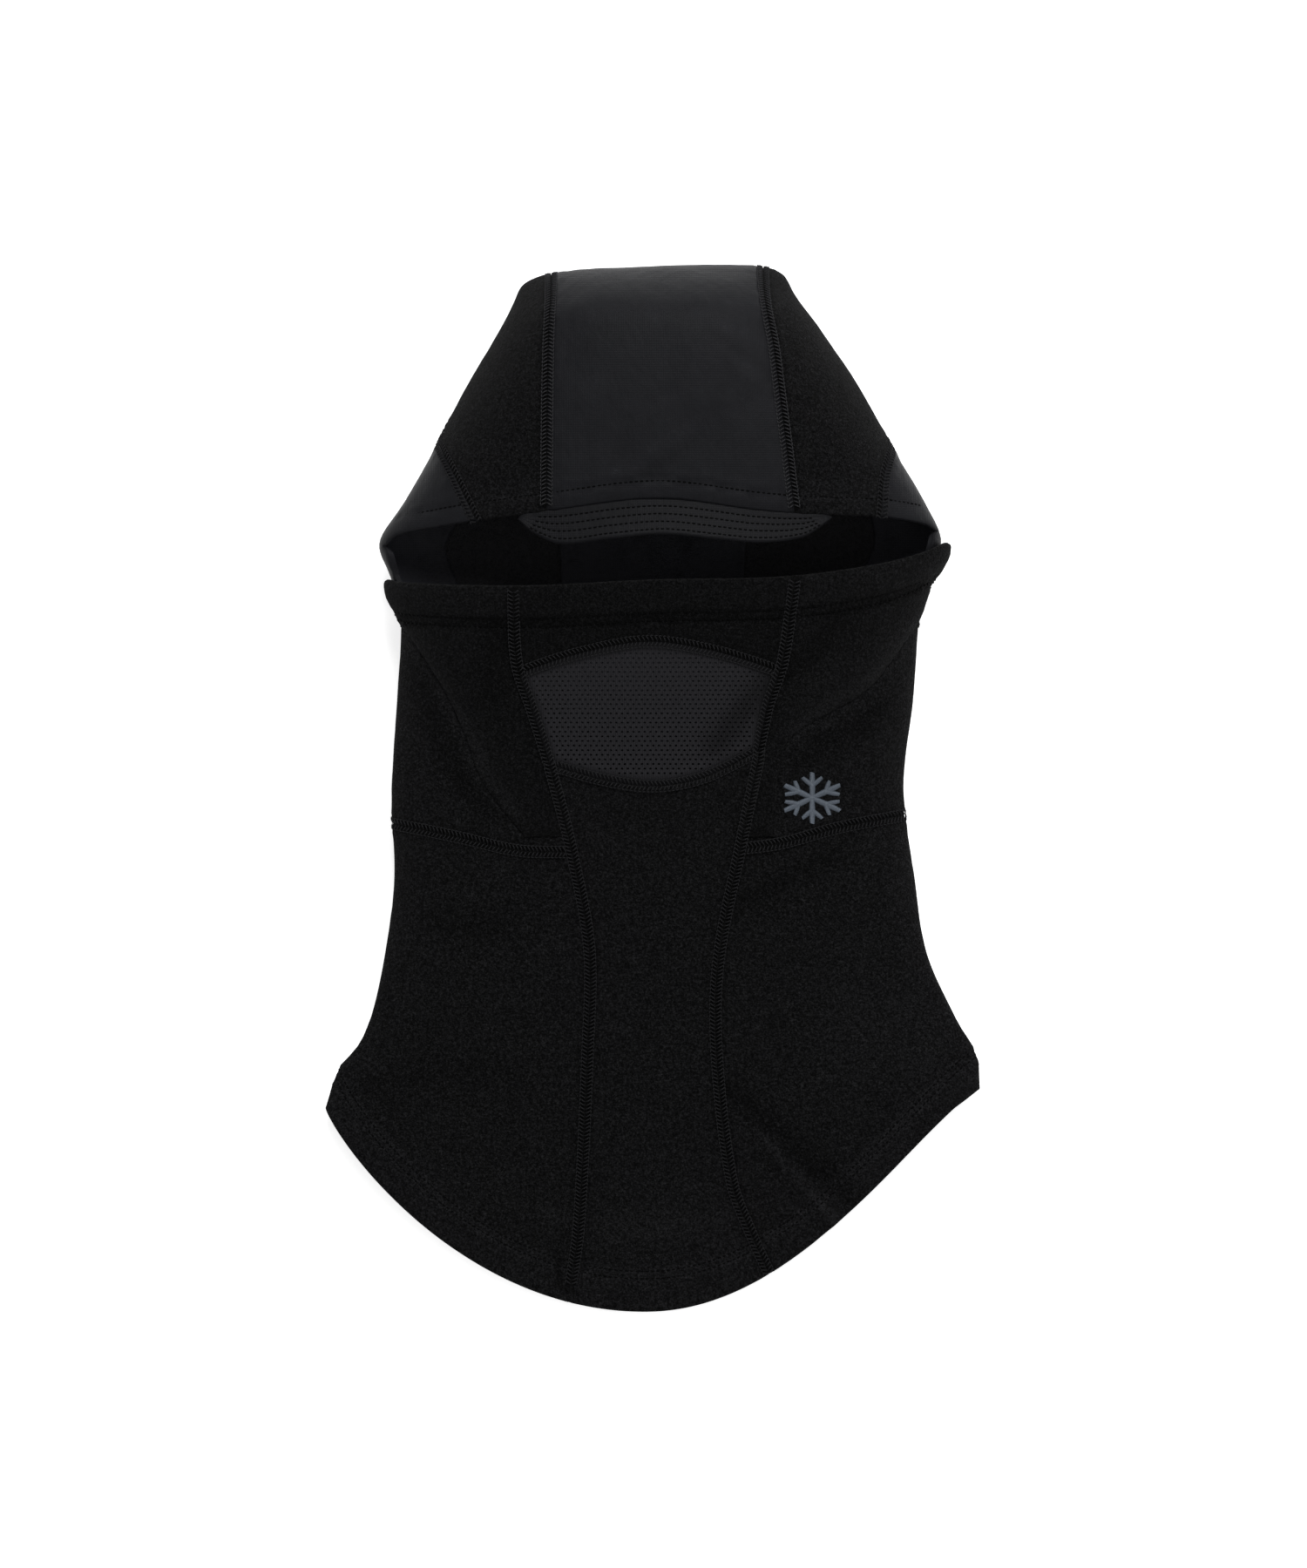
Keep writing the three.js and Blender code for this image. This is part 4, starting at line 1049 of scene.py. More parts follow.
def loose_places():
    """Rows of places over the whole body, spaced evenly on the cloth."""
    levels = np.linspace(HEM, CROWN - 0.001, 3000)
    reach = chart_axes(np.maximum(levels, DOME))[1] + np.maximum(DOME - levels, 0)
    rows = np.interp(np.arange(SPACING, reach.max() - 1, SPACING), reach[::-1], levels[::-1])
    places = []
    halves = ((-RIGHT_ANGLE, RIGHT_ANGLE, SPACING), (RIGHT_ANGLE, 3 * RIGHT_ANGLE, BACK_SPACING))
    for k, level in enumerate(rows):
        for start, end, step in halves:
            angle = np.linspace(start, end, 240)
            along = run_of(body(angle, level))
            at = np.arange((0.5 if k % 2 else 0.0) * step, along[-1] - 0.3 * step, step)
            places.append(np.column_stack([np.interp(at, along, angle), np.full(len(at), level)]))
    return np.concatenate(places)


def guides(line):
    """Places beside a line, at the distances that hold its profile."""
    spots = body(*line.T)
    side = np.cross(unit(np.gradient(spots, axis=0)), outward(line))
    reaches = [sign * reach for reach in SEAM_GUIDES for sign in (-1, 1)]
    return np.concatenate([settle(line, spots + side * reach) for reach in reaches])


def settle(places, wanted):
    """Places near the given ones whose points on the body come closest to wanted."""
    places = places.copy()
    for _ in range(3):
        angle, level = places.T
        here = body(angle, level)
        across = (body(angle + 0.002, level) - here) / 0.002
        up = (body(angle, level + 0.05) - here) / 0.05
        miss = wanted - here
        aa, bb, ab = (across * across).sum(1), (up * up).sum(1), (across * up).sum(1)
        ma, mb = (miss * across).sum(1), (miss * up).sum(1)
        det = np.maximum(aa * bb - ab * ab, 1e-6)
        places[:, 0] += np.clip((ma * bb - mb * ab) / det, -0.2, 0.2)
        places[:, 1] += np.clip((mb * aa - ma * ab) / det, -8, 8)
    places[:, 1] = np.clip(places[:, 1], HEM + 0.2, CROWN - 0.05)
    return places


def spread_out(places, lines, surface, gap):
    """Leaves out places that lie closer than gap to a line."""
    distance, _ = nearest(surface(*places.T), on_cloth(lines, surface))
    return places[distance > gap]


def hood_sheet():
    """The whole hood meshed at once, cut into its panels."""
    fixed = [*hood_seams, hem_ring[:-1], face_hole]
    beside = np.concatenate([guides(line) for line in hood_seams])
    beside = spread_out(beside, fixed, body, 1.0)
    rows = np.concatenate([guides(hem_row_low), brow_row, hem_row_low, hem_row_high])
    rows = spread_out(rows, fixed, body, 1.2)
    loose = spread_out(loose_places(), [*fixed, hem_row_low, hem_row_high, brow_row], body, 1.2)
    loose = keep_off(loose, beside, 1.1)
    return cut_sheet(hood_seams, np.concatenate([loose, beside, rows]), [hem_ring[:-1], face_hole])


def keep_off(places, others, gap):
    """Leaves out places that lie closer than gap to one of the others."""
    tree = tree_of(body(*others.T))
    return places[[tree.find(p)[2] > gap for p in body(*places.T)]]


# A place in each panel, as an angle in degrees and a level, and the panel's look.
HOOD_PANELS = {
    "crown_center_panel": (0, 180, "nylon"),
    "crown_side_left": (-60, 180, "crown_fleece_painted_shade"),
    "crown_side_right": (60, 180, "crown_fleece_painted_shade"),
    "temple_panel_left": (-80, 135, "nylon"),
    "temple_panel_right": (80, 135, "nylon"),
    "cheek_panel_left": (-90, 20, "fleece"),
    "cheek_panel_right": (90, 20, "fleece"),
    "neck_side_left": (-80, -80, "fleece"),
    "neck_side_right": (80, -80, "fleece"),
    "neck_back_panel": (180, -60, "fleece"),
    "bib_lower_panel": (0, -80, "fleece"),
}


def painted_seam_band(seams, points):
    """1 in the painted shade where the stitches of a flat seam press the cloth down, 0 elsewhere."""
    return np.exp(-((seams.find(points)[0] / SEAM_SHADE_HALF) ** 4))


def new_panel(name, look, *shape):
    """A panel of cloth, in place of the CAD panel of that name."""
    points, solid, inside = cloth_solid(*shape)
    piece = new_piece(name.replace("_panel", "") + "_cloth", points, solid, LOOKS[look], inside)
    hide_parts(name)
    return piece


def make_hood():
    places, faces, region = hood_sheet()
    angle, level = places.T
    plain = body(angle, level)
    out = outward(places)
    rim = on_cloth([hem_ring, brow])
    under_mask = nearest(plain, on_cloth([hole_left, hole_right]))[0]
    height = hood_relief(plain)
    height = np.where(under_mask < MASK_OVERLAP, np.minimum(height, 0.0) * 0.5, height)
    rim_distance, _ = nearest(plain, rim)
    turned = 1 - smooth(HEM_STITCH_RISE - 3, HEM_STITCH_RISE, rim_distance)
    # Painted shade in the sunk bands of the flat seams.
    seam_painted_shade = painted_seam_band(hood_seam_finder, plain)
    # Painted shade in the groove beside each crown seam, where the nylon is tucked.
    tuck_painted_shade = bell(tuck_finder.find(plain)[0], 1.1) * (plain[:, 2] > TUCK_BACK)
    # Painted light of the fleece: painted sweeps, a painted highlight along the stitch rows, and the
    # turned hem band a little lighter.
    pile = painted_pile_light(plain, hood_row_finder, 0.16) + 0.05 * turned
    # Painted light and shade of the nylon: crease lines, and painted shade in the tucks' grooves.
    nylon_painted_light = along_sweeps(creases, plain) - 0.5 * tuck_painted_shade
    pieces = {}
    for name, (at_angle, at_level, look) in HOOD_PANELS.items():
        patch = region_at(places, faces, region, at_angle, at_level)
        surface = bib if name == "bib_lower_panel" else body
        outer = surface(angle, level) + out * height[:, None]
        inner = surface(angle, level, FABRIC) + out * (height * 0.6 - 0.3 * turned)[:, None]
        outer[:, 2] = np.maximum(outer[:, 2], CLOTH_FLOOR)
        bulge = np.where(rim_distance < EDGE_REACH, 1.0, RIM_PLAY)
        # Each panel's painted light and shade: crease light and seam shade on nylon, sweeps, rows and seam
        # shade on fleece.
        shade = nylon_painted_light - 0.6 * seam_painted_shade if look == "nylon" else pile - SEAM_PAINTED_SHADE * seam_painted_shade
        pieces[name] = new_panel(name, look, patch, outer, inner, bulge, ROUND_STEPS, shade)
    return pieces


hood_pieces = make_hood()


# ---- the mask --------------------------------------------------------------------------------

SIDE_CURL = 11.0  # the mask's sides turn down over this width
SIDE_FADE = 22.0  # and lie down softly over this width near the chin
CURL_LIFT = 1.15  # height of a turned side edge above the hood
CORNER_DROP = 7.0  # the top edge falls by this much round the sides
CORNER_Y = 110.0  # the mask's side edges end below this
MASK_TOP_LEVEL = 98.0  # level of the mask's top edge, about
WING_FOOT_START = 46.0  # the wings' feet lie on the hood beyond this half width
HEM_ROLL = 0.9  # how far the turned top hem swells
HOLE_PITCH = (2.6, 2.1)  # between the net's holes along a row, and between its rows
HOLE_SIZE = (0.68, 0.52)  # half width and half height of a hole


def side_angle(y, column):
    """Angle of the mask's side edge at y. Column 1 is the left edge, 2 the right."""
    return np.radians(curve(MASK_SIDES, y, column))


def mask_top(angle):
    """Where along Y the mask's top edge lies at an angle."""
    corner = smooth(66, 100, np.degrees(np.abs(angle))) ** 2
    return curve(MASK_TOP, mask(angle, MASK_TOP_LEVEL)[..., 0]) - CORNER_DROP * corner


def mask_side(column):
    """A side edge of the mask, from the chin to its top corner."""
    y = np.linspace(CHIN, mask_top(side_angle(CORNER_Y, column)), 160)
    return route_at(side_angle(y, column), y)


def mask_top_edge(drop=0.0):
    """The mask's top edge from left to right, or a row below it."""
    angle = np.linspace(side_angle(CORNER_Y, 1), side_angle(CORNER_Y, 2), 300)
    return route_at(angle, mask_top(angle) - drop)


def mask_hem_row(drop):
    """A stitch row along the mask's top hem, between its side edges."""
    row = mask_top_edge(drop)
    y = body(*row.T)[:, 1]
    left, right = side_angle(y, 1), side_angle(y, 2)
    return row[(row[:, 0] > left + 0.05) & (row[:, 0] < right - 0.05)]


side_left, side_right = mask_side(1), mask_side(2)
top_edge = mask_top_edge()
mask_row_low = mask_hem_row(HEM_STITCH_RISE + MASK_ROW_HALF)
mask_row_high = mask_hem_row(HEM_STITCH_RISE - MASK_ROW_HALF)
wing_foot_left = resample(np.array([bib_left_down[0], side_left[0]]))
wing_foot_right = resample(np.array([bib_right_down[0], side_right[0]]))
mask_outline = np.concatenate(
    [
        side_left,
        top_edge[1:-1],
        side_right[::-1],
        wing_foot_right[::-1][1:],
        chin_right[::-1][1:],
        chin_edge[::-1][1:],
        chin_left[1:],
        wing_foot_left[1:-1],
    ]
)
mask_seam_left = np.concatenate([bib_left_up[:corner_left], chin_edge[:1]])
mask_seam_right = np.concatenate([bib_right_up[:corner_right], chin_edge[-1:]])


def outer_feet(line):
    """The part of a wing's foot that lies over the hood beside its face hole."""
    return line[np.abs(body(*line.T)[:, 0]) > WING_FOOT_START]


def lift_of(places, curl_distance):
    """Height of the mask's outer face over the hood, and of its inner face."""
    plain = body(*places.T)
    full = FABRIC + standoff(places[:, 0], plain)
    upper = smooth(8, 55, plain[:, 1])
    t = np.clip(curl_distance / mix(SIDE_FADE, SIDE_CURL, upper), 0, 1)
    edge = mix(0.75, CURL_LIFT, upper)
    high = mix(np.minimum(edge, full), full, mix(smooth(0, 1, t), np.sqrt(1 - (1 - t) ** 2), upper))
    over_hood = smooth(44, 46.5, np.abs(plain[:, 0]))
    return high, np.maximum(high - FABRIC, mix(-FABRIC, 0.35, over_hood))


wing_feet = [outer_feet(wing_foot_left), outer_feet(wing_foot_right)]
curl_finder = Near(on_cloth([side_left, side_right, *wing_feet]))
mask_seam_finder = Near(on_cloth([mask_seam_left, mask_seam_right, net_top, chin_edge]))
mask_row_finder = Near(on_cloth([mask_row_low, mask_row_high]))
mask_edge_finder = Near(on_cloth([top_edge]))


def mask_relief(points):
    height = relief(points, mask_seam_finder, mask_row_finder)
    below = mask_edge_finder.find(points)[0]
    side = 0.6 + 1.5 * smooth(70, 112, np.abs(points[:, 0]))
    height += HEM_ROLL * side * np.sin(math.pi * np.clip(below / (HEM_STITCH_RISE - 2), 0, 1)) ** 0.8
    return height * smooth(0, 8, curl_finder.find(points)[0])


def on_mask(places):
    """Outer points of the mask at places, with its relief."""
    plain = body(*places.T)
    high, _ = lift_of(places, curl_finder.find(plain)[0])
    return body(*places.T, -high) + outward(places) * mask_relief(plain)[:, None]


def net_holes():
    """Rings of six places, one for each hole of the net, in staggered rows."""
    across, up = HOLE_PITCH
    turns = np.radians(np.arange(0, 360, 60))
    ring = np.column_stack([HOLE_SIZE[0] * np.cos(turns), HOLE_SIZE[1] * np.sin(turns)])
    middles = []
    for row in range(-2, 34):
        y = up * row
        x = np.arange(-66, 66, across) + (row % 2) * across / 2
        middles.append(np.column_stack([x, np.full(len(x), y)]))
    middles = np.concatenate(middles)
    inside = middles[:, 1] < curve(NET_TOP, middles[:, 0]) - NET_SEAM_GAP
    inside &= middles[:, 1] > curve(NET_BOTTOM, middles[:, 0]) + NET_SEAM_GAP
    left = curve([(y, x) for x, y in BIB_SEAM_LEFT[:5]][::-1], middles[:, 1])
    right = curve([(y, x) for x, y in BIB_SEAM_RIGHT[:5]][::-1], middles[:, 1])
    inside &= (middles[:, 0] > left + 4.4) & (middles[:, 0] < right - 4.4)
    spots = (middles[inside][:, None, :] + ring).reshape(-1, 2)
    return locate(spots[:, 0], spots[:, 1], surface=mask).reshape(-1, 6, 2)


NET_SEAM_GAP = 4.2  # the net has no holes nearer than this to its seams

# A place in each panel, as an angle in degrees and a level, and the panel's look.
MASK_PANELS = {
    "mask_top_panel": (0, 82, "mask_fleece_painted_shade"),
    "mask_net_panel": (0, None, "netting"),
    "mask_wing_left": (-60, 75, "wing_fleece_painted_shade"),
    "mask_wing_right": (60, 75, "wing_fleece_painted_shade"),
}


def mask_sheet():
    holes = net_holes()
    lines = [beyond(mask_seam_left, 4, 0), beyond(mask_seam_right, 6, 0), net_top]
    fixed = [*lines, mask_outline, side_left, side_right, top_edge, chin_edge]
    loose = loose_places()
    plain = body(*loose.T)
    loose = loose[(plain[:, 1] > CHIN - 2) & (plain[:, 1] < 120) & (np.cos(loose[:, 0]) > -0.25)]
    beside = np.concatenate([guides(line) for line in (*lines, chin_edge)])
    beside = spread_out(beside, fixed, body, 1.0)
    rows = spread_out(np.concatenate([mask_row_low, mask_row_high]), fixed, body, 1.0)
    loose = spread_out(loose, [*fixed, mask_row_low, mask_row_high], body, 1.2)
    loose = keep_off(loose, beside, 1.1)
    extra = np.concatenate([loose, beside])
    middles = holes.mean(axis=1)
    extra = keep_off(extra, middles, 1.25)
    return cut_sheet(lines, np.concatenate([extra, rows]), [mask_outline, *holes])


def blended(piece):
    """A piece that runs from the hood onto the mask, with its transform baked into its mesh."""
    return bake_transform(piece)


def make_mask():
    places, faces, region = mask_sheet()
    plain, out = body(*places.T), outward(places)
    curl_distance, _ = curl_finder.find(plain)
    high, low = lift_of(places, curl_distance)
    height = mask_relief(plain)
    top_distance, _ = nearest(plain, on_cloth([top_edge]))
    rim_distance, _ = nearest(plain, on_cloth([top_edge, side_left, side_right]))
    turned = 1 - smooth(HEM_STITCH_RISE - 3, HEM_STITCH_RISE, top_distance)
    outer = body(*places.T, -high) + out * (height + 0.35 * turned)[:, None]
    inner = body(*places.T, -low) + out * (0.3 * np.maximum(height, 0))[:, None]
    net_outer = body(*places.T, 0.5 - high) + out * (0.6 * height)[:, None]
    net_inner = net_outer - out * NET
    bulge = np.where(rim_distance < EDGE_REACH, np.where(turned > 0.5, 1.0, 0.35), RIM_PLAY)
    # Painted shade in the sunk bands of the mask's flat seams.
    seam_painted_shade = painted_seam_band(mask_seam_finder, plain)
    # Painted light and shade of the mask's fleece: painted sweeps, painted shade along its hem rows, and
    # the turned hem a little lighter.
    pile = painted_pile_light(plain, mask_row_finder, -0.1) + 0.04 * turned
    for name, (at_angle, at_level, look) in MASK_PANELS.items():
        net = name == "mask_net_panel"
        if net:
            patch = net_patch(places, faces, region)
            # Painted shadow of the right wing's fold on the net, and painted shade along its seams.
            shade = along_sweeps(net_painted_shadow, plain) - seam_painted_shade
            shape = net_outer, net_inner, np.zeros_like(bulge), (0.5,), shade
        else:
            patch = region_at(places, faces, region, at_angle, at_level)
            # Fleece panels get their painted light with the painted seam shade.
            shape = outer, inner, bulge, ROUND_STEPS, pile - SEAM_PAINTED_SHADE * seam_painted_shade
        piece = new_panel(name, look, patch, *shape)
        if net:
            piece.data.set_sharp_from_angle(angle=math.radians(35))
        if "wing" in name:
            blended(piece)
        else:
            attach(piece, "mask")


def net_patch(places, faces, region):
    """The faces of the net. The fillings of its holes are regions too, but have far fewer faces."""
    middles = body(*places.T)[faces].mean(axis=1)
    inside = (np.abs(middles[:, 0]) < 40) & (middles[:, 1] > 20) & (middles[:, 1] < 50)
    ids, counts = np.unique(region[inside], return_counts=True)
    return faces[region == ids[np.argmax(counts)]]


make_mask()
for panel, piece in hood_pieces.items():
    if panel == "bib_lower_panel":
        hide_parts("mask_chin_panel")
        blended(piece)
    else:
        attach(piece, "hood")


# ---- threads ---------------------------------------------------------------------------------

THREAD_FLOOR = 0.06  # height over the table that threads keep


def tube(path, radius, sides=5):
    """Closed round tube along a few points."""
    path = np.asarray(path, float)
    ahead = unit(np.gradient(path, axis=0))
    side = unit(np.cross(ahead, (0.13, 0.05, 1.0)))
    up = np.cross(side, ahead)
    turns = np.arange(sides) * 2 * math.pi / sides
    sizes = np.full(len(path), radius)
    sizes[[0, -1]] *= 0.6
    rings = [
        path[i] + sizes[i] * (np.outer(np.cos(turns), side[i]) + np.outer(np.sin(turns), up[i]))
        for i in range(len(path))
    ]
    points = np.concatenate([*rings, path[:1], path[-1:]])
    first, last = len(points) - 2, len(points) - 1
    faces = []
    for i in range(len(path) - 1):
        for k in range(sides):
            a, b = i * sides + k, i * sides + (k + 1) % sides
            faces += [(a, b, b + sides), (a, b + sides, a + sides)]
    for k in range(sides):
        a, b = k, (k + 1) % sides
        end = (len(path) - 1) * sides
        faces += [(b, a, first), (end + a, end + b, last)]
    return points, np.array(faces)


def joined(parts):
    points, faces, count = [], [], 0
    for part, its_faces in parts:
        points.append(part)
        faces.append(np.asarray(its_faces) + count)
        count += len(part)
    return np.concatenate(points), np.concatenate(faces)


def flatlock(width, pitch):
    """One stitch of a flat seam: two slanting threads between rows of needle thread."""
    half = width / 2
    slanting = ((-0.5, half, 0.65), (0, half * 0.55, 0.8), (0.35, 0.2, 0.6))
    straight = ((-0.46, half, 0.4), (-0.1, half, 0.75), (0.4, half, 0.45))
    strokes = [
        [(along * pitch, side * across, up) for along, across, up in stroke]
        for side in (-1, 1)
        for stroke in (slanting, straight)
    ]
    return joined([tube(path, 0.31) for path in strokes])


def dash(pitch):
    """One lockstitch, dipping into the cloth at both ends."""
    path = [(-0.3, -0.34), (-0.2, 0.04), (0, 0.14), (0.2, 0.04), (0.3, -0.34)]
    return tube([(a * pitch, 0, up) for a, up in path], 0.34)


def sewn(spots, out, stitch):
    """A stitch repeated at each spot of a row, turned along it and kept above the table."""
    ahead = unit(np.gradient(spots, axis=0))
    side = unit(np.cross(ahead, out))
    up = np.cross(side, ahead)
    shape, faces = stitch
    points = spots[:, None, :]
    for axis, share in zip((ahead, side, up), shape.T):
        points = points + axis[:, None, :] * share[:, None]
    points[..., 2] = np.maximum(points[..., 2], THREAD_FLOOR)
    every = [faces + k * len(shape) for k in range(len(spots))]
    return points.reshape(-1, 3), np.concatenate(every)


def on_hood(places, surface=body):
    plain = surface(*places.T)
    return plain + outward(places) * hood_relief(body(*places.T))[:, None]


def sew_line(line, stitch, pitch, where, lift=0.0):
    """Stitches along a line, lift above the surface where it lies."""
    places = resample(line, pitch)
    out = outward(places)
    return sewn(where(places) + out * lift, out, stitch)


def thread_piece(name, parts, look, nodes, body_name=None):
    """Stitches as one piece. Without a body of its own, its transform is baked into its mesh."""
    points, faces = joined(parts)
    piece = new_piece(name, points, faces, LOOKS[look])
    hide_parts(*nodes)
    if body_name:
        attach(piece, body_name)
    else:
        blended(piece)


FLATLOCK_PITCH = 1.75
FLATLOCK = flatlock(5.3, FLATLOCK_PITCH)
BACK_PITCH = 2.5
BACK_FLATLOCK = flatlock(4.6, BACK_PITCH)
ROW_PITCH = 2.4
ROW_DASH = dash(ROW_PITCH)


def on_bib(places):
    return on_hood(places, bib)


def flat(line, where, lift=0.0):
    """Flatlock stitches along a seam."""
    return sew_line(line, FLATLOCK, FLATLOCK_PITCH, where, lift)


def dashes(rows, where, lift=0.0):
    """Lockstitches along some stitch rows."""
    return [sew_line(row, ROW_DASH, ROW_PITCH, where, lift) for row in rows]


# The hood's flat seams, each from just inside the edge it runs from.
HOOD_SEWN = {
    "crown": (crown_left[2:], crown_right[2:], "crown_thread_painted_light"),
    "temple": (temple_left[2:], temple_right[2:], "seam_thread"),
    "neck": (neck_left[:-2], neck_right[2:], "seam_thread"),
}


def make_threads():
    sides = ("left", "right")
    for seam, (*lines, look) in HOOD_SEWN.items():
        for side, line in zip(sides, lines):
            node = f"{seam}_seam_thread_{side}"
            thread_piece(f"{seam}_seam_stitches_{side}", [flat(line, on_hood)], look, [node], "hood")
    for side, up, chin, down in zip(
        sides, (mask_seam_left, mask_seam_right), (chin_left, chin_right), (bib_left_down, bib_right_down)
    ):
        parts = [flat(up[1:], on_mask, 0.1), flat(np.concatenate([chin, down[1:-2]]), on_bib, 0.1)]
        nodes = [f"mask_seam_thread_{side}", f"bib_seam_thread_{side}"]
        thread_piece(f"bib_seam_stitches_{side}", parts, "seam_thread", nodes)
    top, bottom = flat(net_top[3:-3], on_mask), flat(chin_edge[2:-2], on_mask, 0.1)
    thread_piece("net_seam_stitches_top", [top], "seam_thread", ["net_seam_thread_top"], "mask")
    thread_piece("net_seam_stitches_bottom", [bottom], "seam_thread", ["net_seam_thread_bottom"], "mask")
    hem, brow_dashes = dashes((hem_row_low, hem_row_high), on_hood), dashes([brow_row], on_hood)
    thread_piece("hem_stitches", hem, "row_thread_painted_shade", ["hem_coverstitch_thread"], "hood")
    thread_piece("brow_stitches", brow_dashes, "row_thread_painted_shade", ["brow_topstitch_thread"], "hood")
    rows = dashes((mask_row_low, mask_row_high), on_mask, 0.3)
    thread_piece("mask_hem_stitches", rows, "row_thread_painted_shade", ["mask_hem_coverstitch_thread"], "mask")
    lines = [line[line[:, 1] > HEM + 1] for line in back_seams]
    points, faces = joined([sew_line(line, BACK_FLATLOCK, BACK_PITCH, on_hood) for line in lines])
    piece = new_piece("back_seam_stitches", points, faces, LOOKS["seam_thread"])
    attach(piece, "hood")


make_threads()


# ---- slabs: brim, facings, label -------------------------------------------------------------

SLAB_ROUND = 0.45  # how far a slab's rim swells outwards, as a share of its thickness


def slab(name, top, bottom, look):
    """Closed solid between two grids of points, with its rim rounded outwards a little."""
    rows, columns = top.shape[:2]
    index = np.arange(rows * columns).reshape(rows, columns)
    a, b, c, d = index[:-1, :-1], index[:-1, 1:], index[1:, 1:], index[1:, :-1]
    faces = np.concatenate([np.stack(q, -1).reshape(-1, 3) for q in ((a, b, c), (a, c, d))])
    outer, inner = top.reshape(-1, 3), bottom.reshape(-1, 3)
    turn = np.cross(outer[b[0, 0]] - outer[a[0, 0]], outer[d[0, 0]] - outer[a[0, 0]])
    if turn @ (outer[a[0, 0]] - inner[a[0, 0]]) < 0:
        faces = faces[:, ::-1]
    thick = np.linalg.norm(outer - inner, axis=1)
    points, solid, _ = cloth_solid(faces, outer, inner, thick * SLAB_ROUND)
    return new_piece(name, points, solid, LOOKS[look])


def brim(u, v, depth):
    """Points of the brim: u from its right end to its left, v from its root to its edge."""
    left, right = BRIM_EDGE[0][0], BRIM_EDGE[-1][0]
    root_x, edge_x = mix(right - 1, left + 1, u), mix(right, left, u)
    root_y = curve(BROW_EDGE, root_x) - BRIM_ROOT_GAP
    root_z = np.interp(root_x, BROW_PROFILE[:, 0], BROW_PROFILE[:, 2]) - BRIM_SINK
    lift = BRIM_LIFT * np.sin(math.pi * mix(0.02, 0.98, u)) ** 0.7
    y = mix(root_y, curve(BRIM_EDGE, edge_x), v)
    return np.stack([mix(root_x, edge_x, v), y, root_z + lift * v**1.2 - depth], axis=-1)


BROW_PROFILE = body(*brow.T)
BRIM_COVER = 0.8  # thickness of a cover
BRIM_BOARD = 0.7
BRIM_CLEARANCE = 0.3  # between board and covers


def brim_quilting(u, v):
    """The cover swells between its stitch rows and rolls over at its edge."""
    swell = np.zeros(np.broadcast(u, v).shape)
    bounds = [0, *BRIM_ROWS, 1]
    for low, high in zip(bounds, bounds[1:]):
        t = np.clip((v - low) / (high - low), 0, 1)
        swell = swell + 0.12 * np.sin(math.pi * t) ** 0.7 * ((v >= low) & (v < high))
    rim = np.minimum((1 - v) / 0.12, np.minimum(u, 1 - u) / 0.02)
    rolled = 1 - np.sqrt(1 - (1 - np.clip(rim, 0, 1)) ** 2)
    return swell - 0.75 * rolled


def make_brim():
    v, u = np.meshgrid(np.linspace(0, 1, 46), np.linspace(0, 1, 121), indexing="ij")
    quilting = brim_quilting(u, v)
    lower_top = BRIM_COVER + 2 * BRIM_CLEARANCE + BRIM_BOARD
    upper = slab("brim_upper_cloth", brim(u, v, -quilting), brim(u, v, BRIM_COVER), "brim_nylon_painted_shade")
    lower_bottom = brim(u, v, lower_top + BRIM_COVER + 0.6 * quilting)
    lower = slab("brim_lower_cloth", brim(u, v, lower_top - 0.25), lower_bottom, "nylon")
    for piece, node in ((upper, "brim_upper_cover"), (lower, "brim_lower_cover")):
        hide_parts(node)
        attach(piece, "brim")
    for k, share in enumerate(BRIM_ROWS):
        inset = 0.07 - 0.035 * share
        along = np.linspace(inset, 1 - inset, 400)
        spots = spaced(brim(along, np.full(400, share), -0.12), ROW_PITCH)
        out = np.tile((0.0, 0.0, 1.0), (len(spots), 1))
        points, faces = sewn(spots, out, ROW_DASH)
        piece = new_piece(f"brim_stitches_{k + 1}", points, faces, LOOKS["row_thread_painted_shade"])
        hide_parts(f"brim_stitch_row_{k + 1}")
        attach(piece, "brim")
    stiffener = bpy.data.objects["brim_stiffener"]
    for place in stiffener.material_slots:
        place.material = LOOKS["board"]


make_brim()

FACING_DEPTHS = (2.85, 3.55)  # of the facing's two faces below the hood's outer face
BROW_FACING_ENDS = (-112, 118)  # along X
BROW_FACING_RISE = (1.2, 12)  # of its two edges above the brow's edge
SIDE_FACING_WIDTH = 8
SIDE_FACING_DROP = 5


def facing(name, node, edge, far):
    """A strip of nylon that lines the edge of the face hole, from its edge to its far side."""
    share = np.linspace(0, 1, 9)[:, None, None]
    grid = mix(edge[None], far[None], share)
    angle, level = grid[..., 0], grid[..., 1]
    top, bottom = (body(angle, level, depth) for depth in FACING_DEPTHS)
    piece = slab(name, top, bottom, "nylon")
    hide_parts(node)
    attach(piece, "hood")


def make_facings():
    low, high = BROW_FACING_ENDS
    x, y, _ = BROW_PROFILE[(BROW_PROFILE[:, 0] > low) & (BROW_PROFILE[:, 0] < high)].T
    edge, far = (locate(x, y + rise) for rise in BROW_FACING_RISE)
    facing("brow_facing_cloth", "brow_facing", edge, far)
    for side, name, hole in ((-1, "left", FACE_HOLE_LEFT[:5]), (1, "right", FACE_HOLE_RIGHT[4:9])):
        x, y = smooth_line(hole, 3).T
        edge, far = locate(x + side, y), locate(x + side * SIDE_FACING_WIDTH, y - SIDE_FACING_DROP)
        facing(f"opening_facing_cloth_{name}", f"opening_facing_{name}", edge, far)


make_facings()


